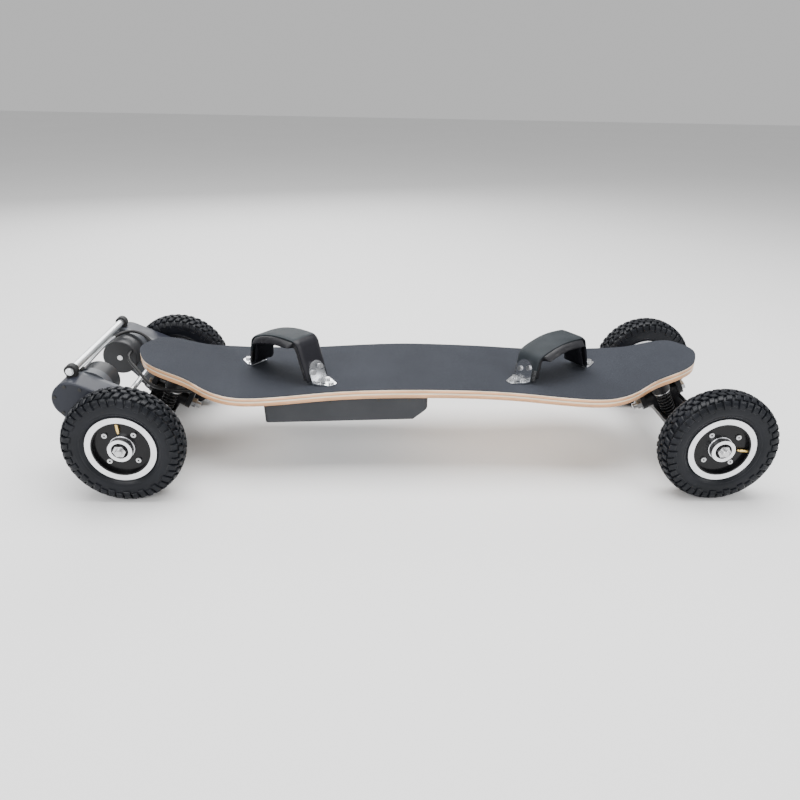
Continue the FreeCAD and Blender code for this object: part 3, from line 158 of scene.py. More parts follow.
class Finish:
    """One material and the helpers that wire its nodes."""

    def __init__(self, name, colour, roughness=0.5, metallic=0.0, **sockets):
        self.material = bpy.data.materials.new(name)
        self.material.use_nodes = True
        tree = self.material.node_tree
        self.nodes, self.links = tree.nodes, tree.links
        self.shader = self.nodes["Principled BSDF"]
        self.shader.inputs["Base Color"].default_value = (*colour, 1)
        self.shader.inputs["Roughness"].default_value = roughness
        self.shader.inputs["Metallic"].default_value = metallic
        for socket, value in sockets.items():
            self.shader.inputs[socket.replace("_", " ").title().replace("Ior", "IOR")].default_value = value
        self.where = self.nodes.new("ShaderNodeTexCoord").outputs["Object"]
        self.height = None
        print("finish", name)

    def plug(self, node, inputs):
        for key, value in inputs.items():
            if isinstance(value, bpy.types.NodeSocket):
                self.links.new(value, node.inputs[key])
            else:
                node.inputs[key].default_value = value

    def math(self, operation, a, b=0.0, clamp=False):
        node = self.nodes.new("ShaderNodeMath")
        node.operation = operation
        node.use_clamp = clamp
        self.plug(node, {0: a, 1: b})
        return node.outputs[0]

    def stretch(self, scale, location=(0, 0, 0), rotation=(0, 0, 0), where=None):
        node = self.nodes.new("ShaderNodeMapping")
        placed = {"Scale": scale, "Location": location, "Rotation": rotation}
        self.plug(node, {"Vector": where or self.where, **placed})
        return node.outputs[0]

    def noise(self, scale, detail=3.0, where=None, rough=0.5):
        node = self.nodes.new("ShaderNodeTexNoise")
        self.plug(node, {"Vector": where or self.where, "Scale": scale, "Detail": detail, "Roughness": rough})
        return node.outputs["Fac"]

    def cells(self, scale, where=None, feature="F1"):
        node = self.nodes.new("ShaderNodeTexVoronoi")
        node.feature = feature
        self.plug(node, {"Vector": where or self.where, "Scale": scale})
        return node.outputs["Distance"]

    def waves(self, scale, direction, where=None, distortion=0.0, kind="BANDS"):
        node = self.nodes.new("ShaderNodeTexWave")
        node.wave_type = kind
        if kind == "BANDS":
            node.bands_direction = direction
        else:
            node.rings_direction = direction
        self.plug(node, {"Vector": where or self.where, "Scale": scale, "Distortion": distortion})
        return node.outputs["Fac"]

    def split(self, vector=None):
        node = self.nodes.new("ShaderNodeSeparateXYZ")
        self.plug(node, {0: vector or self.where})
        return node.outputs

    def attribute(self, name):
        node = self.nodes.new("ShaderNodeAttribute")
        node.attribute_name = name
        return node.outputs["Fac"]

    def ramp(self, value, *stops):
        """A colour ramp: stops are (position, grey or colour)."""
        node = self.nodes.new("ShaderNodeValToRGB")
        ladder = node.color_ramp.elements
        while len(ladder) < len(stops):
            ladder.new(0.5)
        for rung, (position, shade) in zip(ladder, stops):
            rung.position = position
            tone = shade if isinstance(shade, tuple) else (shade, shade, shade)
            rung.color = (*tone, 1)
        self.plug(node, {0: value})
        return node.outputs[0]

    def mix(self, share, a, b, blend="MIX"):
        node = self.nodes.new("ShaderNodeMix")
        node.data_type = "RGBA"
        node.blend_type = blend
        for index, value in ((0, share), (6, a), (7, b)):
            if isinstance(value, bpy.types.NodeSocket):
                self.links.new(value, node.inputs[index])
            else:
                node.inputs[index].default_value = (*value, 1) if isinstance(value, tuple) else value
        return node.outputs[2]

    def colour(self, value):
        self.plug(self.shader, {"Base Color": value})
        return self

    def rough(self, value):
        self.plug(self.shader, {"Roughness": value})
        return self

    def bump(self, height, depth_mm, strength=1.0):
        """Adds relief of about that many millimetres, on top of any relief before it."""
        node = self.nodes.new("ShaderNodeBump")
        self.plug(node, {"Height": height, "Distance": depth_mm * MM, "Strength": strength})
        if self.height is not None:
            self.links.new(self.height, node.inputs["Normal"])
        self.height = node.outputs[0]
        self.plug(self.shader, {"Normal": self.height})
        return self


def paint(finish, *names):
    """Gives a finish to CAD nodes or pieces, in place of what they had."""
    for name in names:
        data = (nodes.get(name) or bpy.data.objects[name]).data
        data.materials.clear()
        data.materials.append(finish.material)


floor_finish = Finish("pale_floor", (0.80, 0.80, 0.80), 0.9)
floor_tone = floor_finish.noise(1.2)
floor_finish.colour(floor_finish.ramp(floor_tone, (0.0, 0.78), (1.0, 0.82)))
paint(floor_finish, "floor")

# %% [markdown]
# ## Metals
# Three looks cover nearly all the hardware: bright bent plate on the foot brackets, drawn
# aluminium on the guard tube, and dull zinc on nuts and bolts. A fine stretched noise makes
# the drawing lines, and a slow one breaks up the roughness the way handling does.

# %% Bright plate, drawn tube, zinc and steel
plate_finish = Finish("bright_plate", (0.72, 0.73, 0.75), 0.12, 1.0)
handled = plate_finish.noise(38.0, 4.0)
plate_finish.rough(plate_finish.ramp(handled, (0.3, 0.07), (0.75, 0.22)))

tube_finish = Finish("drawn_tube", (0.86, 0.88, 0.90), 0.3, 1.0)
drawn = tube_finish.noise(240.0, 3.0, tube_finish.stretch((1, 0.03, 1)))
tube_finish.rough(tube_finish.ramp(drawn, (0.3, 0.24), (0.7, 0.42)))
tube_finish.bump(drawn, 0.03, 0.6)

zinc_finish = Finish("zinc_plate", (0.72, 0.73, 0.74), 0.34, 1.0)
spangle = zinc_finish.cells(420.0)
zinc_finish.colour(zinc_finish.ramp(spangle, (0.0, (0.44, 0.45, 0.47)), (1.0, (0.60, 0.60, 0.60))))
zinc_finish.rough(zinc_finish.ramp(zinc_finish.noise(90.0), (0.3, 0.24), (0.8, 0.46)))

ground_finish = Finish("ground_steel", (0.60, 0.60, 0.61), 0.3, 1.0)
turned = ground_finish.noise(500.0, 2.0, ground_finish.stretch((1, 5, 1)))
ground_finish.rough(ground_finish.ramp(turned, (0.3, 0.2), (0.7, 0.4)))
ground_finish.bump(turned, 0.02, 0.5)

brass_finish = Finish("brass", (0.83, 0.60, 0.22), 0.3, 1.0)
brass_finish.rough(brass_finish.ramp(brass_finish.noise(200.0), (0.3, 0.22), (0.8, 0.5)))

bare_finish = Finish("bare_aluminium", (0.78, 0.79, 0.80), 0.36, 1.0)
bare_finish.bump(bare_finish.noise(700.0, 2.0), 0.02, 0.6)
bare_finish.rough(bare_finish.ramp(bare_finish.noise(60.0), (0.3, 0.3), (0.8, 0.46)))

# %% [markdown]
# ## Black coats
# Nearly everything under the deck is black, yet no two blacks match. The cast trucks have a
# satin powder coat with orange peel, the belt covers are moulded with a blue cast, and the
# motor cans are darker and smoother. Small changes of tone and gloss keep them apart.

# %% Cast, moulded, can and box finishes


def black_coat(name, dark, light, gloss, peel_scale, peel_mm):
    """A dark coat whose tone and gloss wander slowly over a fine relief."""
    made = Finish(name, dark, gloss, specular_ior_level=0.24)
    patches = made.noise(14.0, 4.0)
    made.colour(made.ramp(patches, (0.3, dark), (0.75, light)))
    made.rough(made.ramp(made.noise(45.0), (0.3, gloss - 0.06), (0.8, gloss + 0.1)))
    made.bump(made.noise(peel_scale, 3.0), peel_mm, 0.7)
    return made


cast_finish = black_coat("cast_black", (0.010, 0.010, 0.011), (0.018, 0.018, 0.020), 0.34, 900.0, 0.06)
cover_finish = black_coat("cover_black", (0.018, 0.020, 0.028), (0.026, 0.029, 0.040), 0.40, 1500.0, 0.03)
mount_finish = black_coat("mount_grey", (0.050, 0.054, 0.062), (0.075, 0.080, 0.090), 0.36, 1100.0, 0.04)
can_finish = black_coat("motor_can", (0.018, 0.019, 0.021), (0.030, 0.031, 0.034), 0.36, 1300.0, 0.03)
box_finish = black_coat("box_plastic", (0.026, 0.028, 0.032), (0.038, 0.040, 0.045), 0.48, 1700.0, 0.06)
screw_finish = black_coat("black_oxide", (0.020, 0.020, 0.020), (0.045, 0.044, 0.042), 0.36, 2000.0, 0.01)
spring_finish = black_coat("spring_black", (0.008, 0.008, 0.009), (0.014, 0.014, 0.015), 0.26, 1200.0, 0.01)
socket_finish = black_coat("socket_plastic", (0.012, 0.012, 0.013), (0.020, 0.020, 0.022), 0.38, 1900.0, 0.03)
soft_finish = black_coat("soft_rubber", (0.014, 0.014, 0.015), (0.024, 0.024, 0.026), 0.62, 2200.0, 0.04)
belt_finish = black_coat("belt_rubber", (0.010, 0.010, 0.010), (0.020, 0.020, 0.020), 0.66, 1500.0, 0.03)
sleeve_finish = black_coat("battery_sleeve", (0.02, 0.09, 0.30), (0.03, 0.13, 0.38), 0.30, 300.0, 0.10)

# %% Rims: black dishes with a bright flange and hub


def rim_finish(name, centre):
    """Gloss black inside a turned ring and outside a turned hub, by distance from the axle."""
    made = Finish(name, (0.006, 0.006, 0.007), 0.2, specular_ior_level=0.22)
    local = made.stretch((1, 1, 1), (-centre.x, -centre.y, -centre.z))
    x, y, z = made.split(local)
    out = made.math("SQRT", made.math("ADD", made.math("MULTIPLY", x, x), made.math("MULTIPLY", z, z)))
    flange = made.math("GREATER_THAN", out, RIM_RING_R)
    hub = made.math("LESS_THAN", out, RIM_HUB_R)
    bright = made.math("MAXIMUM", flange, hub)
    grooves = made.math("SINE", made.math("MULTIPLY", out, 26000.0))
    tone = made.ramp(made.noise(70.0, 4.0), (0.3, (0.80, 0.81, 0.83)), (0.8, (0.90, 0.90, 0.92)))
    made.colour(made.mix(bright, (0.006, 0.006, 0.007), tone))
    polish = made.ramp(made.noise(50.0), (0.3, 0.24), (0.8, 0.42))
    lacquer = made.ramp(made.noise(30.0), (0.3, 0.14), (0.8, 0.26))
    made.rough(made.mix(bright, lacquer, polish))
    made.plug(made.shader, {"Metallic": bright})
    made.bump(made.math("MULTIPLY", grooves, bright), 0.012, 0.6)
    return made


RIM_RING_R = 0.0485
RIM_HUB_R = 0.0207
WHEELS = ("front_left", "front_right", "rear_left", "rear_right")


def wheel_centre(wheel):
    low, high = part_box(wheel + "_tyre")
    return (low + high) / 2


for wheel in WHEELS:
    paint(rim_finish(wheel + "_rim_paint", wheel_centre(wheel)), wheel + "_rim")
    print(wheel, "centre", wheel_centre(wheel))

# %% Finishes for the other CAD nodes
paint(box_finish, "battery_enclosure")
paint(bare_finish, "enclosure_cleats", "motor_controller", "wheel_pulley_left", "wheel_pulley_right")
paint(bare_finish, "motor_pulley_left", "motor_pulley_right")
paint(sleeve_finish, "battery_pack")
paint(screw_finish, "enclosure_screws", "cover_screws")
paint(socket_finish, "charge_port", "power_switch")
paint(soft_finish, "charge_port_cap", "tube_clamps")
paint(ground_finish, "power_button", "front_axle", "rear_axle", "motor_rotor_left", "motor_rotor_right")
paint(zinc_finish, "deck_bolts", "pivot_bolts", "spring_seats")
paint(cast_finish, "front_hanger", "rear_hanger", "front_baseplate", "rear_baseplate")
paint(mount_finish, "motor_mount_left", "motor_mount_right")
paint(cover_finish, "belt_cover_left", "belt_cover_right")
paint(tube_finish, "guard_tube", "brace_rod")
paint(plate_finish, "binding_brackets")
paint(belt_finish, "drive_belt_left", "drive_belt_right")
paint(can_finish, "motor_housing_left", "motor_housing_right")

# %% [markdown]
# ## The deck
# The deck is pressed from maple plies: a pale veneer on top, warmer plies below it. Its edge
# shows them as thin stripes that follow the bent shape, so height above the ground can't
# place them. On a copy of the CAD deck, each vertex carries how far it lies from the nearest
# top face, as a share of the deck's thickness: 0 on top, 1 on the underside. The edge finish
# reads its stripes from that.

# %% The deck with a ply attribute


def merged_copy(node):
    """A bmesh of a CAD node whose loose triangles are joined up."""
    bm = bmesh.new()
    bm.from_mesh(nodes[node].data)
    bmesh.ops.remove_doubles(bm, verts=bm.verts, dist=0.01 * MM)
    bmesh.ops.dissolve_degenerate(bm, edges=bm.edges, dist=0.005 * MM)
    return bm


EDGE_SLOPE = 0.45
deck_bm = merged_copy("deck_board")
deck_bm.normal_update()
deck_bm.verts.index_update()
tops = [[v.index for v in face.verts] for face in deck_bm.faces if face.normal.z > EDGE_SLOPE]
top_tree = BVHTree.FromPolygons([v.co for v in deck_bm.verts], tops)
depths = [top_tree.find_nearest(v.co)[3] for v in deck_bm.verts]
thickness = max(depths)
ply = deck_bm.verts.layers.float.new("ply")
for vert, deep in zip(deck_bm.verts, depths):
    vert[ply] = deep / thickness
print("ply is", round(thickness / MM, 1), "mm thick")
for face in deck_bm.faces:
    face.material_index = 0 if abs(face.normal.z) < EDGE_SLOPE else 1
deck = finished_object("ply_deck", mesh_of(deck_bm, "ply_deck"))
print("the deck has", len(deck.data.polygons), "faces")

# %% Ply edge and veneer finishes
CREAM = (0.83, 0.70, 0.53)
PEACH = (0.80, 0.43, 0.22)
AMBER = (0.76, 0.35, 0.14)
edge_finish = Finish("ply_edge", PEACH, 0.42, coat_weight=0.3, coat_roughness=0.25)
depth = edge_finish.attribute("ply")
wander = edge_finish.noise(22.0, 4.0, edge_finish.stretch((0.6, 0.6, 3.0)))
shift = edge_finish.math("MULTIPLY", edge_finish.math("SUBTRACT", wander, 0.5), 0.05)
layer = edge_finish.math("ADD", depth, shift)
stripes = edge_finish.ramp(
    layer,
    (0.00, (0.90, 0.80, 0.64)), (0.08, CREAM), (0.11, PEACH), (0.33, PEACH), (0.35, (0.34, 0.15, 0.07)),
    (0.39, (0.44, 0.20, 0.10)), (0.42, CREAM), (0.60, (0.86, 0.70, 0.50)), (0.63, AMBER), (0.83, PEACH),
    (0.86, (0.40, 0.19, 0.09)), (0.89, (0.74, 0.42, 0.22)), (1.00, (0.70, 0.38, 0.19)),
)
fibres = edge_finish.noise(260.0, 3.0, edge_finish.stretch((0.12, 0.12, 1.6)))
fibre_tone = edge_finish.ramp(fibres, (0.3, 0.45), (0.7, 1.0))
edge_finish.colour(edge_finish.mix(0.35, stripes, fibre_tone, "MULTIPLY"))
edge_finish.bump(fibres, 0.08, 0.5)

veneer_finish = Finish("maple_veneer", (0.72, 0.50, 0.30), 0.36, coat_weight=0.4, coat_roughness=0.2)
along = veneer_finish.stretch((1.2, 26.0, 4.0))
grain = veneer_finish.noise(5.0, 6.0, along, 0.6)
pores = veneer_finish.noise(90.0, 2.0, veneer_finish.stretch((0.5, 12.0, 4.0)))
tone = veneer_finish.ramp(
    grain, (0.25, (0.55, 0.34, 0.18)), (0.5, (0.74, 0.53, 0.33)), (0.8, (0.82, 0.64, 0.44)))
pore_tone = veneer_finish.ramp(pores, (0.35, 0.35), (0.6, 1.0))
veneer_finish.colour(veneer_finish.mix(0.25, tone, pore_tone, "MULTIPLY"))
veneer_finish.bump(pores, 0.05, 0.4)

deck.data.materials.append(edge_finish.material)
deck.data.materials.append(veneer_finish.material)
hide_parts("deck_board")
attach(deck, "root")

# %% [markdown]
# ## The grip sheet
# Grip is coarse abrasive on a black sheet, but dust and light on the grit make it look slate
# grey. Small cells give the grit, each with its own height and tone, and a few sparse specks are
# painted up to twice as bright as glints; the rest vary in tone at random.

# %% Grip finish
grip_finish = Finish("grip_grit", (0.030, 0.034, 0.044), 0.82, specular_ior_level=0.2)
grit = grip_finish.cells(1500.0)
broad = grip_finish.noise(9.0, 5.0)
base = grip_finish.ramp(broad, (0.25, (0.025, 0.028, 0.036)), (0.8, (0.036, 0.040, 0.051)))
# Speck tone: darker or plain specks at random, and the sparsest specks lifted 2.2 times as painted glints.
speck_tone_and_painted_glints = grip_finish.ramp(grip_finish.noise(1300.0, 2.0), (0.35, 0.55), (0.62, 1.0), (0.74, 2.2))
grip_finish.colour(grip_finish.mix(1.0, base, speck_tone_and_painted_glints, "MULTIPLY"))
grip_finish.rough(grip_finish.ramp(grit, (0.0, 0.62), (0.6, 0.92)))
grip_finish.bump(grit, 0.25, 0.8)
paint(grip_finish, "grip_tape")

# %% [markdown]
# ## Tyres
# Each tyre is one spun carcass with rows of moulded lugs. A lug starts as a block, gets its
# rim bevelled, and is then laid onto the carcass: its length runs round the wheel, its width
# runs over the shoulder, and its height points straight out of the rubber. The long and
# short shoulder lugs alternate, which makes the ragged edge that the sidewall shows.

# %% The carcass's section
CROWN_R = 96.2
BULGE_R = 74.0
BULGE_HALF = 23.6
SQUARENESS = 3.2
BEAD_R = 50.6
SEAT_HALF = 17.4
FLANGE_REACH_R = 59.0


def section_point(share):
    """Half width and radius at a share from crown, 0, to the widest point, 1."""
    turn = share * math.pi / 2
    half = BULGE_HALF * math.sin(turn) ** (2 / SQUARENESS)
    out = BULGE_R + (CROWN_R - BULGE_R) * max(math.cos(turn), 0.0) ** (2 / SQUARENESS)
    return half, out


STEPS = 400
section = [section_point(i / STEPS) for i in range(STEPS + 1)]
travel = [0.0]
for near, far in zip(section, section[1:]):
    travel.append(travel[-1] + math.hypot(far[0] - near[0], far[1] - near[1]))
print("crown to bulge along the rubber:", round(travel[-1], 1), "mm")


def on_section(distance):
    """Half width, radius and outward direction at a distance from the crown, in mm."""
    flip = -1 if distance < 0 else 1
    target = min(abs(distance), travel[-1] - 0.01)
    index = next(i for i in range(STEPS) if travel[i + 1] >= target)
    part = (target - travel[index]) / (travel[index + 1] - travel[index])
    (h0, r0), (h1, r1) = section[index], section[index + 1]
    length = math.hypot(h1 - h0, r1 - r0)
    normal = (-(r1 - r0) / length, (h1 - h0) / length)
    return flip * (h0 + (h1 - h0) * part), r0 + (r1 - r0) * part, (flip * normal[0], normal[1])


# %% Spin the carcass
SPIN_STEPS = 120


def carcass():
    """A closed ring of rubber about the Y axis, centred on the origin, in mm."""
    bm = bmesh.new()
    outline = [section_point(i / 14) for i in range(15)]
    outline += [(23.2, 70.0), (22.3, 66.6), (22.5, 65.4), (21.0, 62.4), (19.0, 60.0), (17.7, FLANGE_REACH_R)]
    outline += [(SEAT_HALF, 57.0), (SEAT_HALF, BEAD_R)]
    ring = outline + [(-h, r) for h, r in reversed(outline[1:])]
    corners = [bm.verts.new((0, h, r)) for h, r in ring]
    loop = [bm.edges.new((corners[i], corners[i - 1])) for i in range(len(corners))]
    bmesh.ops.spin(
        bm, geom=corners + loop, cent=(0, 0, 0), axis=(0, 1, 0), angle=math.tau,
        steps=SPIN_STEPS, use_merge=True, use_duplicate=False,
    )
    bmesh.ops.remove_doubles(bm, verts=bm.verts, dist=0.001)
    bmesh.ops.recalc_face_normals(bm, faces=bm.faces)
    return bm


# %% One lug, and the rows of lugs
LUG_PITCHES = 42


def add_lug(bm, angle, near, far, length, height, far_height, skew):
    """One bevelled block laid on the carcass from near to far across the tread."""
    block = bmesh.new()
    bmesh.ops.create_cube(block, size=1.0)
    width = abs(far - near)
    bmesh.ops.scale(block, vec=(length, width, height), verts=block.verts)
    across = [e for e in block.edges if abs(e.verts[0].co.y - e.verts[1].co.y) > width / 2]
    bmesh.ops.subdivide_edges(block, edges=across, cuts=max(1, round(width / 5.0)), use_grid_fill=True)
    top = height / 2 - 0.01
    rim = [
        e for e in block.edges
        if e.is_manifold and e.verts[0].co.z > top and e.verts[1].co.z > top
        and e.calc_face_angle(0) > 0.5
    ]
    bmesh.ops.bevel(
        block, geom=rim, offset=1.1, offset_type="OFFSET", segments=1, profile=0.5,
        affect="EDGES", material=-1, clamp_overlap=True,
    )
    side = 1 if far > near else -1
    for vert in block.verts:
        share = vert.co.y / width + 0.5
        tread = near + side * width * share
        half, out, normal = on_section(tread)
        foot = vert.co.z / height + 0.5
        spread = 1.0 + 0.10 * (1.0 - foot)
        lift = -0.6 + foot * (0.6 + height + (far_height - height) * share)
        turn = angle + (vert.co.x * spread + skew * (share - 0.5) * width) / out
        reach = out + normal[1] * lift
        vert.co = Vector((reach * math.sin(turn), half + normal[0] * lift, reach * math.cos(turn)))
    lug = bpy.data.meshes.new("lug")
    bmesh.ops.recalc_face_normals(block, faces=block.faces)
    block.to_mesh(lug)
    block.free()
    bm.from_mesh(lug)
    bpy.data.meshes.remove(lug)


def lugs(bm):
    """Centre blocks in a zigzag, middle blocks beside them, and shoulder lugs outside."""
    pitch = math.tau / LUG_PITCHES
    for count in range(LUG_PITCHES):
        for side in (-1, 1):
            angle = (count + (0.5 if side > 0 else 0.0)) * pitch
            add_lug(bm, angle, side * 0.8, side * 8.4, 9.8, 4.2, 4.0, 0.45)
            add_lug(bm, angle + pitch * 0.5, side * 9.8, side * 18.6, 9.0, 4.0, 3.8, -0.35)
            end = 34.0 if count % 2 else 30.0
            add_lug(bm, angle + pitch * 0.02, side * 20.2, side * end, 9.6, 3.9, 2.2, 0.12)


tyre_bm = carcass()
lugs(tyre_bm)
tyre_mesh = mesh_of(tyre_bm, "tyre")
print("one tyre has", len(tyre_mesh.polygons), "faces")

# %% [markdown]
# The rubber is matt on the worn tops and glossier where the mould left it smooth. Distance
# from the axle, worked out in the material, gives the sidewall its faint moulded ribs.

# %% Tyre finish and the four tyres


def tyre_finish(name, centre):
    made = Finish(name, (0.006, 0.007, 0.009), 0.42, specular_ior_level=0.20)
    local = made.stretch((1, 1, 1), (-centre.x, -centre.y, -centre.z))
    x, y, z = made.split(local)
    out = made.math("SQRT", made.math("ADD", made.math("MULTIPLY", x, x), made.math("MULTIPLY", z, z)))
    dust = made.noise(24.0, 5.0)
    made.colour(made.ramp(dust, (0.3, (0.004, 0.005, 0.007)), (0.8, (0.009, 0.010, 0.014))))
    worn = made.math("GREATER_THAN", out, 0.0985)
    gloss = made.ramp(made.noise(60.0), (0.3, 0.28), (0.8, 0.44))
    made.rough(made.mix(worn, gloss, (0.52, 0.52, 0.52)))
    ribs = made.math("SINE", made.math("MULTIPLY", out, 3600.0))
    low = made.math("LESS_THAN", out, 0.0665)
    made.bump(made.math("MULTIPLY", ribs, low), 0.10, 0.6)
    made.bump(made.noise(900.0), 0.04, 0.5)
    return made


for wheel in WHEELS:
    mesh = tyre_mesh.copy()
    mesh.transform(Matrix.Translation(wheel_centre(wheel)) @ Matrix.Scale(MM, 4))
    tyre = finished_object(wheel + "_knobby_tyre", mesh)
    mesh.materials.append(tyre_finish(wheel + "_rubber", wheel_centre(wheel)).material)
    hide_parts(wheel + "_tyre")
    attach(tyre, "wheel_" + wheel)

# %% [markdown]
# ## Hub hardware
# One CAD node holds a wheel's bearings, spacer, rim bolts and valve. They aren't one material,
# so a copy is split by connected part. The part that reaches furthest out, the valve, turns to
# brass, the bearings beside the axle get dark seals, and the sockets in the bolt heads get the
# same dark rubber as painted shade in their recesses.

# %% Bearings and bolts in zinc, valves in brass


def islands(bm):
    """The connected parts of a bmesh, each a list of faces."""
    left, found = set(bm.faces), []
    while left:
        todo, part = [left.pop()], []
        while todo:
            face = todo.pop()
            part.append(face)
            for edge in face.edges:
                for other in edge.link_faces:
                    if other in left:
                        left.remove(other)
                        todo.append(other)
        found.append(part)
    return found


VALVE_REACH = 0.040
SEAL_REACH = 0.0150
# Faces this close to a bolt's middle, in its socket, get dark rubber: painted shade in the recess.
PAINTED_SOCKET_SHADE_R = 0.0021
for wheel in WHEELS:
    hardware_bm = merged_copy(wheel + "_hub_hardware")
    centre = wheel_centre(wheel)
    for part in islands(hardware_bm):
        far = max(math.hypot(v.co.x - centre.x, v.co.z - centre.z) for f in part for v in f.verts)
        middle = sum((f.calc_center_median() for f in part), Vector()) / len(part)
        for face in part:
            from_bolt = math.hypot(*(face.calc_center_median() - middle).xz)
            if far > VALVE_REACH:
                face.material_index = 1
            elif far < SEAL_REACH or from_bolt < PAINTED_SOCKET_SHADE_R:
                face.material_index = 2
    hardware = finished_object(wheel + "_bolts_and_valve", mesh_of(hardware_bm, "hub"))
    hardware.data.materials.append(zinc_finish.material)
    hardware.data.materials.append(brass_finish.material)
    hardware.data.materials.append(soft_finish.material)
    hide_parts(wheel + "_hub_hardware")
    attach(hardware, "wheel_" + wheel)

# %% [markdown]
# ## Springs
# A coil spring is a circle swept along a helix. Spinning a small wire circle while it also
# moves along the spring's axis does it in one operator: a tight dead turn at each end and
# open turns between them. The springs stretch between deck and truck when the board leans.

# %% Coil springs
WIRE_R = 1.75
COIL_R = 11.9
DEAD_PITCH = 3.5


def coil(length, turns):
    """A spring along +Z from 0 to length, in mm, with one dead turn at each end."""
    bm = bmesh.new()
    ring = bmesh.ops.create_circle(bm, segments=10, radius=WIRE_R, cap_ends=True)["verts"]
    bmesh.ops.rotate(bm, verts=ring, cent=(0, 0, 0), matrix=Matrix.Rotation(math.pi / 2, 3, "X"))
    bmesh.ops.translate(bm, verts=ring, vec=(COIL_R, 0, WIRE_R))
    geom = list(bm.faces)
    open_pitch = (length - 2 * WIRE_R - 2 * DEAD_PITCH) / (turns - 2)
    for count, pitch in ((1, DEAD_PITCH), (turns - 2, open_pitch), (1, DEAD_PITCH)):
        steps = 24 * count
        swept = bmesh.ops.spin(
            bm, geom=geom, cent=(0, 0, 0), axis=(0, 0, 1), dvec=(0, 0, pitch / 24),
            angle=math.tau * count, steps=steps, use_merge=False, use_duplicate=False,
        )
        geom = [g for g in swept["geom_last"] if isinstance(g, bmesh.types.BMFace)]
        geom = geom or swept["geom_last"]
    bmesh.ops.recalc_face_normals(bm, faces=bm.faces)
    for face in bm.faces:
        face.smooth = True
    return bm


def spring_axis(node):
    """Centre, unit axis and length of a CAD spring; the axis lies in the x-z plane, square to the steering
    axis.
    """
    points = [v.co for v in nodes[node].data.vertices]
    centre = sum(points, Vector()) / len(points)
    end = "front" if node.startswith("front") else "rear"
    steer = next(j for j in frame["joints"] if j["name"] == end + "_steer")
    line = Vector(steer["axis"])
    axis = Vector((-line.z, 0, line.x))
    axis = axis if axis.z > 0 else -axis
    reach = [(p - centre).dot(axis) for p in points]
    middle = centre + axis * (max(reach) + min(reach)) / 2
    return middle, axis, max(reach) - min(reach)


SPRING_TURNS = 8
for node in ("front_spring_left", "front_spring_right", "rear_spring_left", "rear_spring_right"):
    middle, axis, length = spring_axis(node)
    spring_bm = coil(length / MM, SPRING_TURNS)
    place = Matrix.Translation(middle - axis * length / 2) @ axis.to_track_quat("Z", "Y").to_matrix().to_4x4()
    bmesh.ops.transform(spring_bm, matrix=place @ Matrix.Scale(MM, 4), verts=spring_bm.verts)
    spring = finished_object(node + "_coil", mesh_of(spring_bm, node))
    spring.data.materials.append(spring_finish.material)
    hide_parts(node)
    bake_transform(spring)
    print(node, "length", round(length / MM, 1), "mm")

# %% [markdown]
# ## Motor leads
# Each motor has one rubber lead that dips under the deck's tip and enters the battery box. The
# right one first runs beside the guard tube in a bright sleeve, over the left motor. A smooth
# curve follows the points of its route, and a round section is swept along it. The end at the
# motor moves with the rear truck and the other end with the deck.

# %% The leads' routes
RIGHT_LEAD = (
    (-581.75, -98.0, 194.4), (-581.75, -62.0, 194.4), (-582.35, -22.0, 195.8), (-582.35, 18.0, 196.0),
    (-580.75, 52.0, 196.8), (-570.75, 76.0, 200.6), (-550.75, 89.0, 201.0), (-529.75, 88.0, 193.0),
    (-513.75, 81.0, 178.0), (-501.75, 74.0, 162.0), (-485.75, 67.0, 149.0), (-459.75, 62.0, 141.5),
    (-419.75, 62.0, 140.5), (-375.75, 60.0, 136.5), (-329.75, 55.0, 127.0), (-275.75, 52.0, 120.0),
)
LEFT_LEAD = (
    (-545.25, 48.0, 173.4), (-545.25, 30.0, 173.4), (-538.75, 12.0, 169.0), (-524.75, 0.0, 160.0),
    (-509.75, -14.0, 150.0), (-494.75, -31.0, 143.0), (-473.75, -47.0, 139.0), (-445.75, -58.0, 139.5),
    (-409.75, -62.0, 140.5), (-375.75, -60.0, 136.5), (-329.75, -55.0, 127.0), (-275.75, -52.0, 120.0),
)
LEAD_R = 3.0 * MM
SLEEVE = (-0.084, 0.058)       # where a braided sleeve covers the right lead, beside the tube
SLEEVE_X = -0.56

lead_finish = black_coat("lead_jacket", (0.010, 0.010, 0.011), (0.018, 0.018, 0.019), 0.4, 1600.0, 0.02)


def smooth_line(name, points):
    """A NURBS curve object through a route's neighbourhood, in metres."""
    data = bpy.data.curves.new(name, "CURVE")
    data.dimensions = "3D"
    data.resolution_u = 16
    line = data.splines.new("NURBS")
    line.points.add(len(points) - 1)
    for knot, point in zip(line.points, points):
        knot.co = (*(Vector(point) * MM), 1)
    line.order_u = 3
    line.use_endpoint_u = True
    return data


def swept_tube(name, points, radius):
    """A closed round tube along a route."""
    data = smooth_line(name, points)
    data.bevel_depth = radius
    data.bevel_resolution = 4
    data.use_fill_caps = True
    holder = bpy.data.objects.new(name, data)
    bpy.context.scene.collection.objects.link(holder)
    bpy.context.view_layer.update()
    mesh = bpy.data.meshes.new_from_object(holder.evaluated_get(bpy.context.evaluated_depsgraph_get()))
    bpy.data.objects.remove(holder)
    bm = bmesh.new()
    bm.from_mesh(mesh)
    bmesh.ops.remove_doubles(bm, verts=bm.verts, dist=0.01 * MM)
    bmesh.ops.recalc_face_normals(bm, faces=bm.faces)
    for face in bm.faces:
        face.smooth = True
    return mesh_of(bm, name)


for side, route, first in (("right", RIGHT_LEAD, 6), ("left", LEFT_LEAD, 1)):
    lead = finished_object("motor_lead_" + side, swept_tube("lead_" + side, route, LEAD_R))
    lead.data.materials.append(lead_finish.material)
    lead.data.materials.append(tube_finish.material)
    for face in lead.data.polygons:
        sleeved = side == "right" and SLEEVE[0] < face.center.y < SLEEVE[1] and face.center.x < SLEEVE_X
        face.material_index = 1 if sleeved else 0
    if side == "right":
        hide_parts("motor_leads")
    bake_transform(lead)
    print("lead", side, "has", len(lead.data.polygons), "faces")
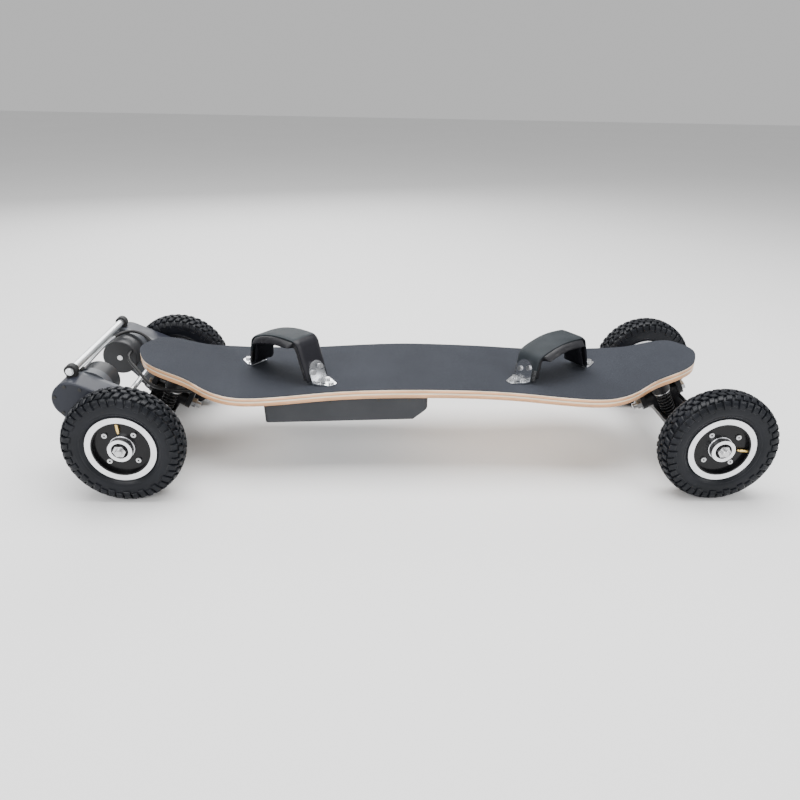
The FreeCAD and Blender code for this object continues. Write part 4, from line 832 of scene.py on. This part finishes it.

# %% [markdown]
# ## Foot straps
# A foot strap is a firm woven shell over a soft pad. Seen from its side, the shell's line is
# made of straight stretches and arcs, so the mesh starts as one point that is extruded along
# the stretches and spun round the arcs. The line is then pulled out sideways in several
# rows, narrowed towards both brackets and rolled down at its rims. The arch is slate; the
# tongue below it at the gentle end is ribbed and dark, and the leg at the steep end is plain,
# with a colour darker than the arch as painted shade on the side turned from the light.

# %% The strap's side line
STRAP_BASE_Z = 158.5
STRAP_START_H = 8.0
STRAP_HEADING = 80.0
STRAP_WIDTH = 56.0
STRAP_END_WIDTH = 52.0
SHELL_T = 4.0
SHOULDER, ARCH, FLAT, KNEE = (20.0, -56.0), (185.0, -26.0), (15.0, 0), (20.0, -70.0)
BINDINGS = {
    "rear": {"start": (-298.45, 32.6), "toward": (152, -120), "rise": 44.0, "fall": 62.75, "span": 153.6},
    "front": {"start": (196.95, -51.9), "toward": (159, 105), "rise": 34.0, "fall": 52.4, "span": 148.7},
}


def binding_matrix(which):
    """From a strap's own mm, x from its gentle end to its steep end, to metres in place."""
    place = BINDINGS[which]
    turn = Matrix.Rotation(math.atan2(place["toward"][1], place["toward"][0]), 4, "Z")
    return Matrix.Scale(MM, 4) @ Matrix.Translation((*place["start"], STRAP_BASE_Z)) @ turn


BROADEST = 0.62                 # share of the span where the shell is broadest


def strap_half_width(share):
    """Half the shell's width at a share of its span: broad in the middle, narrow at both ends."""
    share = min(max(share, 0.0), 1.0)
    if share < BROADEST:
        swell = math.sin(math.pi * share / BROADEST / 2)
    else:
        swell = math.cos((share - BROADEST) / (1 - BROADEST) * math.pi / 2) ** 0.6
    return (STRAP_END_WIDTH + (STRAP_WIDTH - STRAP_END_WIDTH) * swell) / 2


def strap_chain(bm, which, depth=0.0):
    """The side line, a depth inside the shell's outer face, as a chain of vertices."""
    heading = math.radians(STRAP_HEADING)
    tip = bm.verts.new((depth * math.sin(heading), 0, STRAP_START_H - depth * math.cos(heading)))
    place = BINDINGS[which]
    for amount, turn in ((place["rise"], 0), SHOULDER, ARCH, FLAT, KNEE, (place["fall"], 0)):
        amount -= depth if turn else 0.0
        if turn == 0:
            for _ in range(5):
                step = Vector((math.cos(heading), 0, math.sin(heading))) * amount / 5
                grown = bmesh.ops.extrude_vert_indiv(bm, verts=[tip])["verts"]
                bmesh.ops.translate(bm, verts=grown, vec=step)
                tip = grown[0]
        else:
            centre = tip.co + Vector((math.sin(heading), 0, -math.cos(heading))) * amount
            swept = bmesh.ops.spin(
                bm, geom=[tip], cent=centre, axis=(0, 1, 0), angle=-math.radians(turn),
                steps=max(6, round(abs(turn) / 5)), use_merge=False, use_duplicate=False,
            )
            tip = [g for g in swept["geom_last"] if isinstance(g, bmesh.types.BMVert)][0]
            heading += math.radians(turn)
    return bm


# %% The strap's shell
ROWS = 12
# Past this share the shell takes the leg's darker coat: painted shade on the steep leg.
CAP_END = 0.80                  # share of the span where the slate cap gives way to the leg
TONGUE_X = 14.0
TONGUE_SHARE = 0.86            # of the rise, up to where the ribbed tongue reaches
ROLL_MM = 2.2


def strap_shell(which):
    """The shell's outer face: a strip of quads with rolled rims."""
    bm = strap_chain(bmesh.new(), which)
    bm.verts.ensure_lookup_table()
    for vert in bm.verts:
        vert.co.y = -0.5
    edges = list(bm.edges)
    for _ in range(ROWS):
        grown = bmesh.ops.extrude_edge_only(bm, edges=edges)["geom"]
        moved = [g for g in grown if isinstance(g, bmesh.types.BMVert)]
        bmesh.ops.translate(bm, verts=moved, vec=(0, 1 / ROWS, 0))
        edges = [g for g in grown if isinstance(g, bmesh.types.BMEdge)]
    bmesh.ops.recalc_face_normals(bm, faces=bm.faces)
    if sum(f.normal.z for f in bm.faces) < 0:
        bmesh.ops.reverse_faces(bm, faces=bm.faces)
    bm.normal_update()
    sink = {v: v.normal * ROLL_MM * abs(v.co.y * 2) ** 8 for v in bm.verts}
    for vert in bm.verts:
        vert.co.y *= 2 * strap_half_width(vert.co.x / BINDINGS[which]["span"])
        vert.co -= sink[vert]
    for face in bm.faces:
        face.smooth = True
        middle = face.calc_center_median()
        if middle.x < TONGUE_X and middle.z < BINDINGS[which]["rise"] * TONGUE_SHARE:
            face.material_index = 1
        elif middle.x > CAP_END * BINDINGS[which]["span"]:
            face.material_index = 2
    return bm


strap_finish = Finish("strap_weave", (0.016, 0.020, 0.024), 0.6, specular_ior_level=0.2)
threads = strap_finish.math(
    "MULTIPLY", strap_finish.waves(300.0, "X"), strap_finish.waves(300.0, "Y"))
strap_finish.colour(strap_finish.ramp(
    strap_finish.noise(30.0, 4.0), (0.3, (0.013, 0.017, 0.020)), (0.8, (0.024, 0.029, 0.034))))
strap_finish.bump(threads, 0.10, 0.6)
strap_finish.rough(strap_finish.ramp(threads, (0.0, 0.55), (1.0, 0.72)))

tongue_finish = Finish("ribbed_tongue", (0.010, 0.011, 0.013), 0.40)
# The steep leg is the same shell as the arch, given a darker coat: painted shade where it faces away from the
# light.
painted_shade_leg_finish = black_coat("strap_leg_painted_shade", (0.008, 0.008, 0.011), (0.014, 0.014, 0.018), 0.34, 1400.0, 0.03)
tongue_finish.bump(tongue_finish.waves(110.0, "Z"), 1.2, 0.8)

for which in BINDINGS:
    shell_bm = strap_shell(which)
    bmesh.ops.transform(shell_bm, matrix=binding_matrix(which), verts=shell_bm.verts)
    shell = finished_object(which + "_strap_shell", mesh_of(shell_bm, which + "_shell"))
    thick = shell.modifiers.new("thickness", "SOLIDIFY")
    thick.thickness = SHELL_T * MM
    thick.offset = -1
    rounded = shell.modifiers.new("rounded_rims", "BEVEL")
    rounded.width = 0.9 * MM
    rounded.segments = 2
    rounded.angle_limit = math.radians(50)
    shell.data.materials.append(strap_finish.material)
    shell.data.materials.append(tongue_finish.material)
    shell.data.materials.append(painted_shade_leg_finish.material)
    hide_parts(which + "_binding_strap")
    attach(shell, "root")
    print(which, "strap shell", len(shell.data.polygons), "faces")

# %% [markdown]
# ## Foam pads
# Under each shell sits a soft foam pad with a smooth skin. Its section, a block whose slanted
# sides reach past the shell's rims, is extruded from station to station along the shell. The
# pad is stuffed, so a cloth simulation swells it a little, and its travel is held to a few
# millimetres. That gives the crowned rims a plain block lacks.

# %% Swell the pads
PAD_SECTION = ((0, 0), (20, 0), (29, 0), (40, 8.5), (42, 10.5), (39, 11.6), (20, 11.7), (0, 11.7))
LEG_SHARE = 0.62               # of the pad's full width, on both legs
LEG_FROM, LEG_FULL = 0.45, 0.80  # sine of the slope where a leg starts, and is fully a leg
PAD_VOXEL = 2.6 * MM
PAD_SWELL = 2.2 * MM
PAD_SHRINK = 1.0 * MM
SWELL_FRAMES = 20

pad_finish = Finish("pad_skin", (0.006, 0.006, 0.008), 0.36, specular_ior_level=0.3)
pad_finish.colour(pad_finish.ramp(
    pad_finish.noise(26.0, 4.0), (0.3, (0.004, 0.004, 0.006)), (0.8, (0.009, 0.009, 0.012))))
pad_finish.rough(pad_finish.ramp(pad_finish.noise(80.0), (0.3, 0.34), (0.8, 0.54)))
pad_finish.bump(pad_finish.cells(900.0), 0.06, 0.6)


def applied(thing):
    """Replaces an object's mesh with what its modifiers make of it."""
    bpy.context.view_layer.update()
    mesh = bpy.data.meshes.new_from_object(thing.evaluated_get(bpy.context.evaluated_depsgraph_get()))
    thing.modifiers.clear()
    thing.data = mesh


def pad_block(which):
    """The pad's section extruded along a line just under the shell, closed at both ends."""
    rail = strap_chain(bmesh.new(), which, SHELL_T + 0.3)
    points = [v.co.copy() for v in rail.verts]
    rail.free()
    frames = []
    for index, point in enumerate(points):
        ahead = points[min(index + 1, len(points) - 1)] - points[max(index - 1, 0)]
        lean = Matrix.Rotation(-math.atan2(ahead.z, ahead.x), 4, "Y")
        steepness = abs(ahead.normalized().z)
        on_leg = min(max((steepness - LEG_FROM) / (LEG_FULL - LEG_FROM), 0.0), 1.0)
        widen = 1.0 - (1.0 - LEG_SHARE) * on_leg
        frames.append(Matrix.Translation(point) @ lean @ Matrix.Scale(widen, 4, (0, 1, 0)))
    bm = bmesh.new()
    outline = list(PAD_SECTION) + [(-y, deep) for y, deep in reversed(PAD_SECTION[1:-1])]
    corners = [bm.verts.new(frames[0] @ Vector((0, y, -deep))) for y, deep in outline]
    edges = [bm.edges.new((corners[i - 1], corners[i])) for i in range(len(corners))]
    for here, ahead in zip(frames, frames[1:]):
        grown = bmesh.ops.extrude_edge_only(bm, edges=edges)["geom"]
        moved = [g for g in grown if isinstance(g, bmesh.types.BMVert)]
        bmesh.ops.transform(bm, matrix=ahead @ here.inverted(), verts=moved)
        edges = [g for g in grown if isinstance(g, bmesh.types.BMEdge)]
    bmesh.ops.holes_fill(bm, edges=[e for e in bm.edges if e.is_boundary], sides=0)
    bmesh.ops.triangulate(bm, faces=[f for f in bm.faces if len(f.verts) > 4])
    bmesh.ops.recalc_face_normals(bm, faces=bm.faces)
    bmesh.ops.transform(bm, matrix=binding_matrix(which), verts=bm.verts)
    return bm


def swollen_pad(which, name):
    """A pad block, remeshed and blown up a little by a cloth simulation."""
    pad = finished_object(name, mesh_of(pad_block(which), name))
    remesh = pad.modifiers.new("voxels", "REMESH")
    remesh.mode = "VOXEL"
    remesh.voxel_size = PAD_VOXEL
    applied(pad)
    inward = pad.modifiers.new("smaller", "DISPLACE")
    inward.strength = -PAD_SHRINK
    inward.mid_level = 0.0
    applied(pad)
    rest = [v.co.copy() for v in pad.data.vertices]
    cloth = pad.modifiers.new("swell", "CLOTH").settings
    cloth.use_pressure = True
    cloth.uniform_pressure_force = 4.0
    cloth.effector_weights.gravity = 0.0
    cloth.tension_stiffness = 30.0
    for count in range(1, SWELL_FRAMES + 1):
        bpy.context.scene.frame_set(count)
    applied(pad)
    bpy.context.scene.frame_set(1)
    for vert, start in zip(pad.data.vertices, rest):
        travel_now = vert.co - start
        if travel_now.length > PAD_SWELL:
            vert.co = start + travel_now.normalized() * PAD_SWELL
    for face in pad.data.polygons:
        face.use_smooth = True
    smoother = pad.modifiers.new("smoother", "SMOOTH")
    smoother.factor = 0.5
    smoother.iterations = 5
    finer = pad.modifiers.new("finer", "SUBSURF")
    finer.levels = 1
    finer.render_levels = 1
    return pad


for which in BINDINGS:
    pad = swollen_pad(which, which + "_foam_pad")
    pad.data.materials.clear()
    pad.data.materials.append(pad_finish.material)
    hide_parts(which + "_binding_pad")
    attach(pad, "root")
    print(which, "pad has", len(pad.data.polygons), "faces")

# %% [markdown]
# ## Finish

# %% Finish
bpy.context.view_layer.update()
